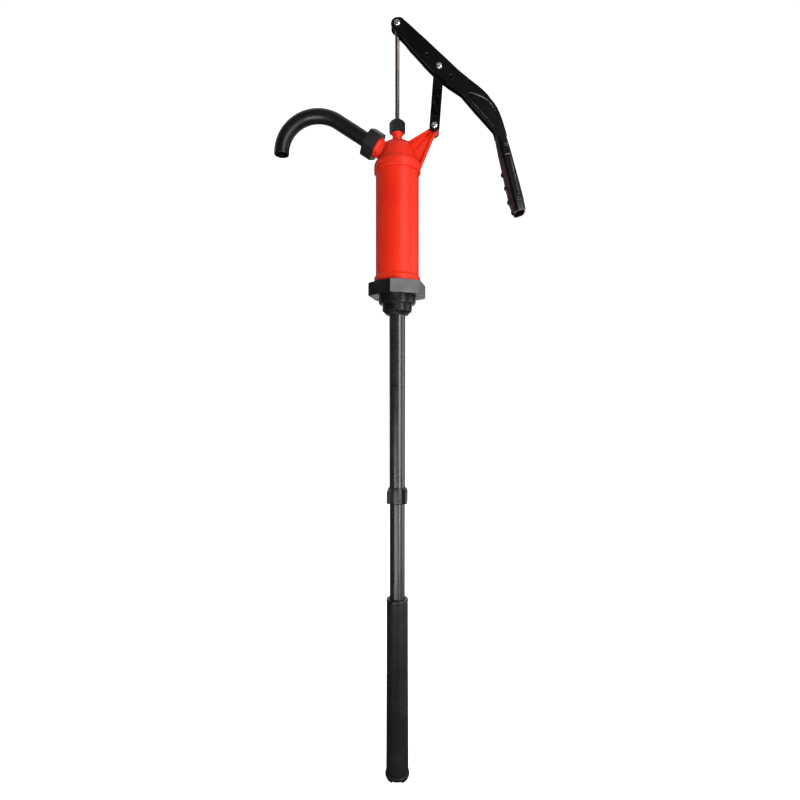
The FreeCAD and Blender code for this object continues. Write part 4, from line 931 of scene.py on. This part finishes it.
# ------------------------------------------------------------------ stage, light, camera
stage_mat, stage_tree, stage_shader = material("studio_paper")
stage_vec = coords(stage_tree)
stage_color = ramp(stage_tree, noise(stage_tree, stage_vec, 2.0), [(0.3, (0.90, 0.90, 0.90)), (0.7, (0.93, 0.93, 0.93))])
stage_tree.links.new(stage_color, stage_shader.inputs["Base Color"])
stage_tree.links.new(stage_color, stage_shader.inputs["Emission Color"])
stage_shader.inputs["Emission Strength"].default_value = 1.04
stage_shader.inputs["Roughness"].default_value = 0.9
FLOOR = -0.7665
back = [(-3.0, FLOOR)]
for k in range(17):
    w = math.pi / 2 * k / 16
    back.append((2.6 + 1.6 * math.sin(w), FLOOR + 1.6 - 1.6 * math.cos(w)))
back.append((4.2, 5.0))
verts, faces = [], []
for y, z in back:
    verts += [(-6 / MM, y / MM, z / MM), (6 / MM, y / MM, z / MM)]
for i in range(len(back) - 1):
    faces.append((2 * i, 2 * i + 1, 2 * i + 3, 2 * i + 2))
paper = new_object("studio_paper_sweep", verts, faces)
paper.data.polygons.foreach_set("use_smooth", [True] * len(paper.data.polygons))
paper.data.materials.append(stage_mat)
paper.visible_diffuse = False
paper.visible_glossy = False
paper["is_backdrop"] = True

world = bpy.data.worlds.new("studio")
scene.world = world
world.use_nodes = True
world.node_tree.nodes["Background"].inputs["Color"].default_value = (1.0, 1.0, 1.0, 1.0)
# the room is dim to the pump, and pale where it is seen directly
seen = world.node_tree.nodes.new("ShaderNodeLightPath")
level = world.node_tree.nodes.new("ShaderNodeMath")
level.operation = "MULTIPLY_ADD"
level.inputs[1].default_value = 0.90
level.inputs[2].default_value = 0.07
world.node_tree.links.new(seen.outputs["Is Camera Ray"], level.inputs[0])
world.node_tree.links.new(level.outputs[0], world.node_tree.nodes["Background"].inputs["Strength"])


def area(name, loc, target, size, power, color=(1, 1, 1)):
    light = bpy.data.lights.new(name, "AREA")
    light.shape = "RECTANGLE"
    light.size, light.size_y = size
    light.energy = power
    light.color = color
    obj = bpy.data.objects.new(name, light)
    scene.collection.objects.link(obj)
    obj.location = loc
    obj.rotation_euler = (Vector(target) - Vector(loc)).to_track_quat("-Z", "Y").to_euler()
    return obj


area("key_right", (0.88, -1.10, 0.06), (0, 0, -0.08), (0.44, 2.0), 19)
low = area("front_low", (-0.10, -1.17, -0.70), (0, 0, 0.15), (0.9, 0.4), 1.5)
low.data.spread = math.radians(50)
area("side_right", (1.5, 0.15, -0.1), (0, 0, -0.1), (0.9, 1.8), 10.5)
streak = area("fill_left", (-0.34, -0.56, -0.53), (0, 0, -0.50), (0.09, 0.46), 1.1, (1.0, 0.92, 0.83))
streak.visible_camera = False
area("left_high", (-1.3, 0.30, 0.95), (0.1, 0, 0.2), (0.8, 0.5), 1.0)
area("back_left", (-1.2, 1.6, 0.4), (0, 0, -0.1), (1.2, 1.6), 2.6)
back = area("back_right", (0.3, 1.8, 0.0), (0.05, 0, 0), (1.2, 1.2), 5)
back.visible_camera = False
area("overhead", (0.0, 1.3, 3.3), (0, 1.3, -0.77), (5.0, 4.0), 45)

cam_data = bpy.data.cameras.new("camera")
cam_data.sensor_width = 36.0
cam_data.lens = 527.0 / 800.0 * 36.0
cam_data.clip_start = 0.02
cam_data.clip_end = 30.0
cam = bpy.data.objects.new("camera", cam_data)
scene.collection.objects.link(cam)
YAW = math.radians(2.0)
right = Vector((math.cos(YAW), math.sin(YAW), 0))
forward = Vector((-math.sin(YAW), math.cos(YAW), 0))
cam.location = -forward * 0.843 + right * 0.0043 + Vector((0, 0, -0.164))
cam.rotation_euler = (math.pi / 2, 0, YAW)
scene.camera = cam

scene.view_settings.view_transform = "Standard"
scene.view_settings.look = "None"
scene.view_settings.exposure = 0.0
scene.view_settings.gamma = 1.0

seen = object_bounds()
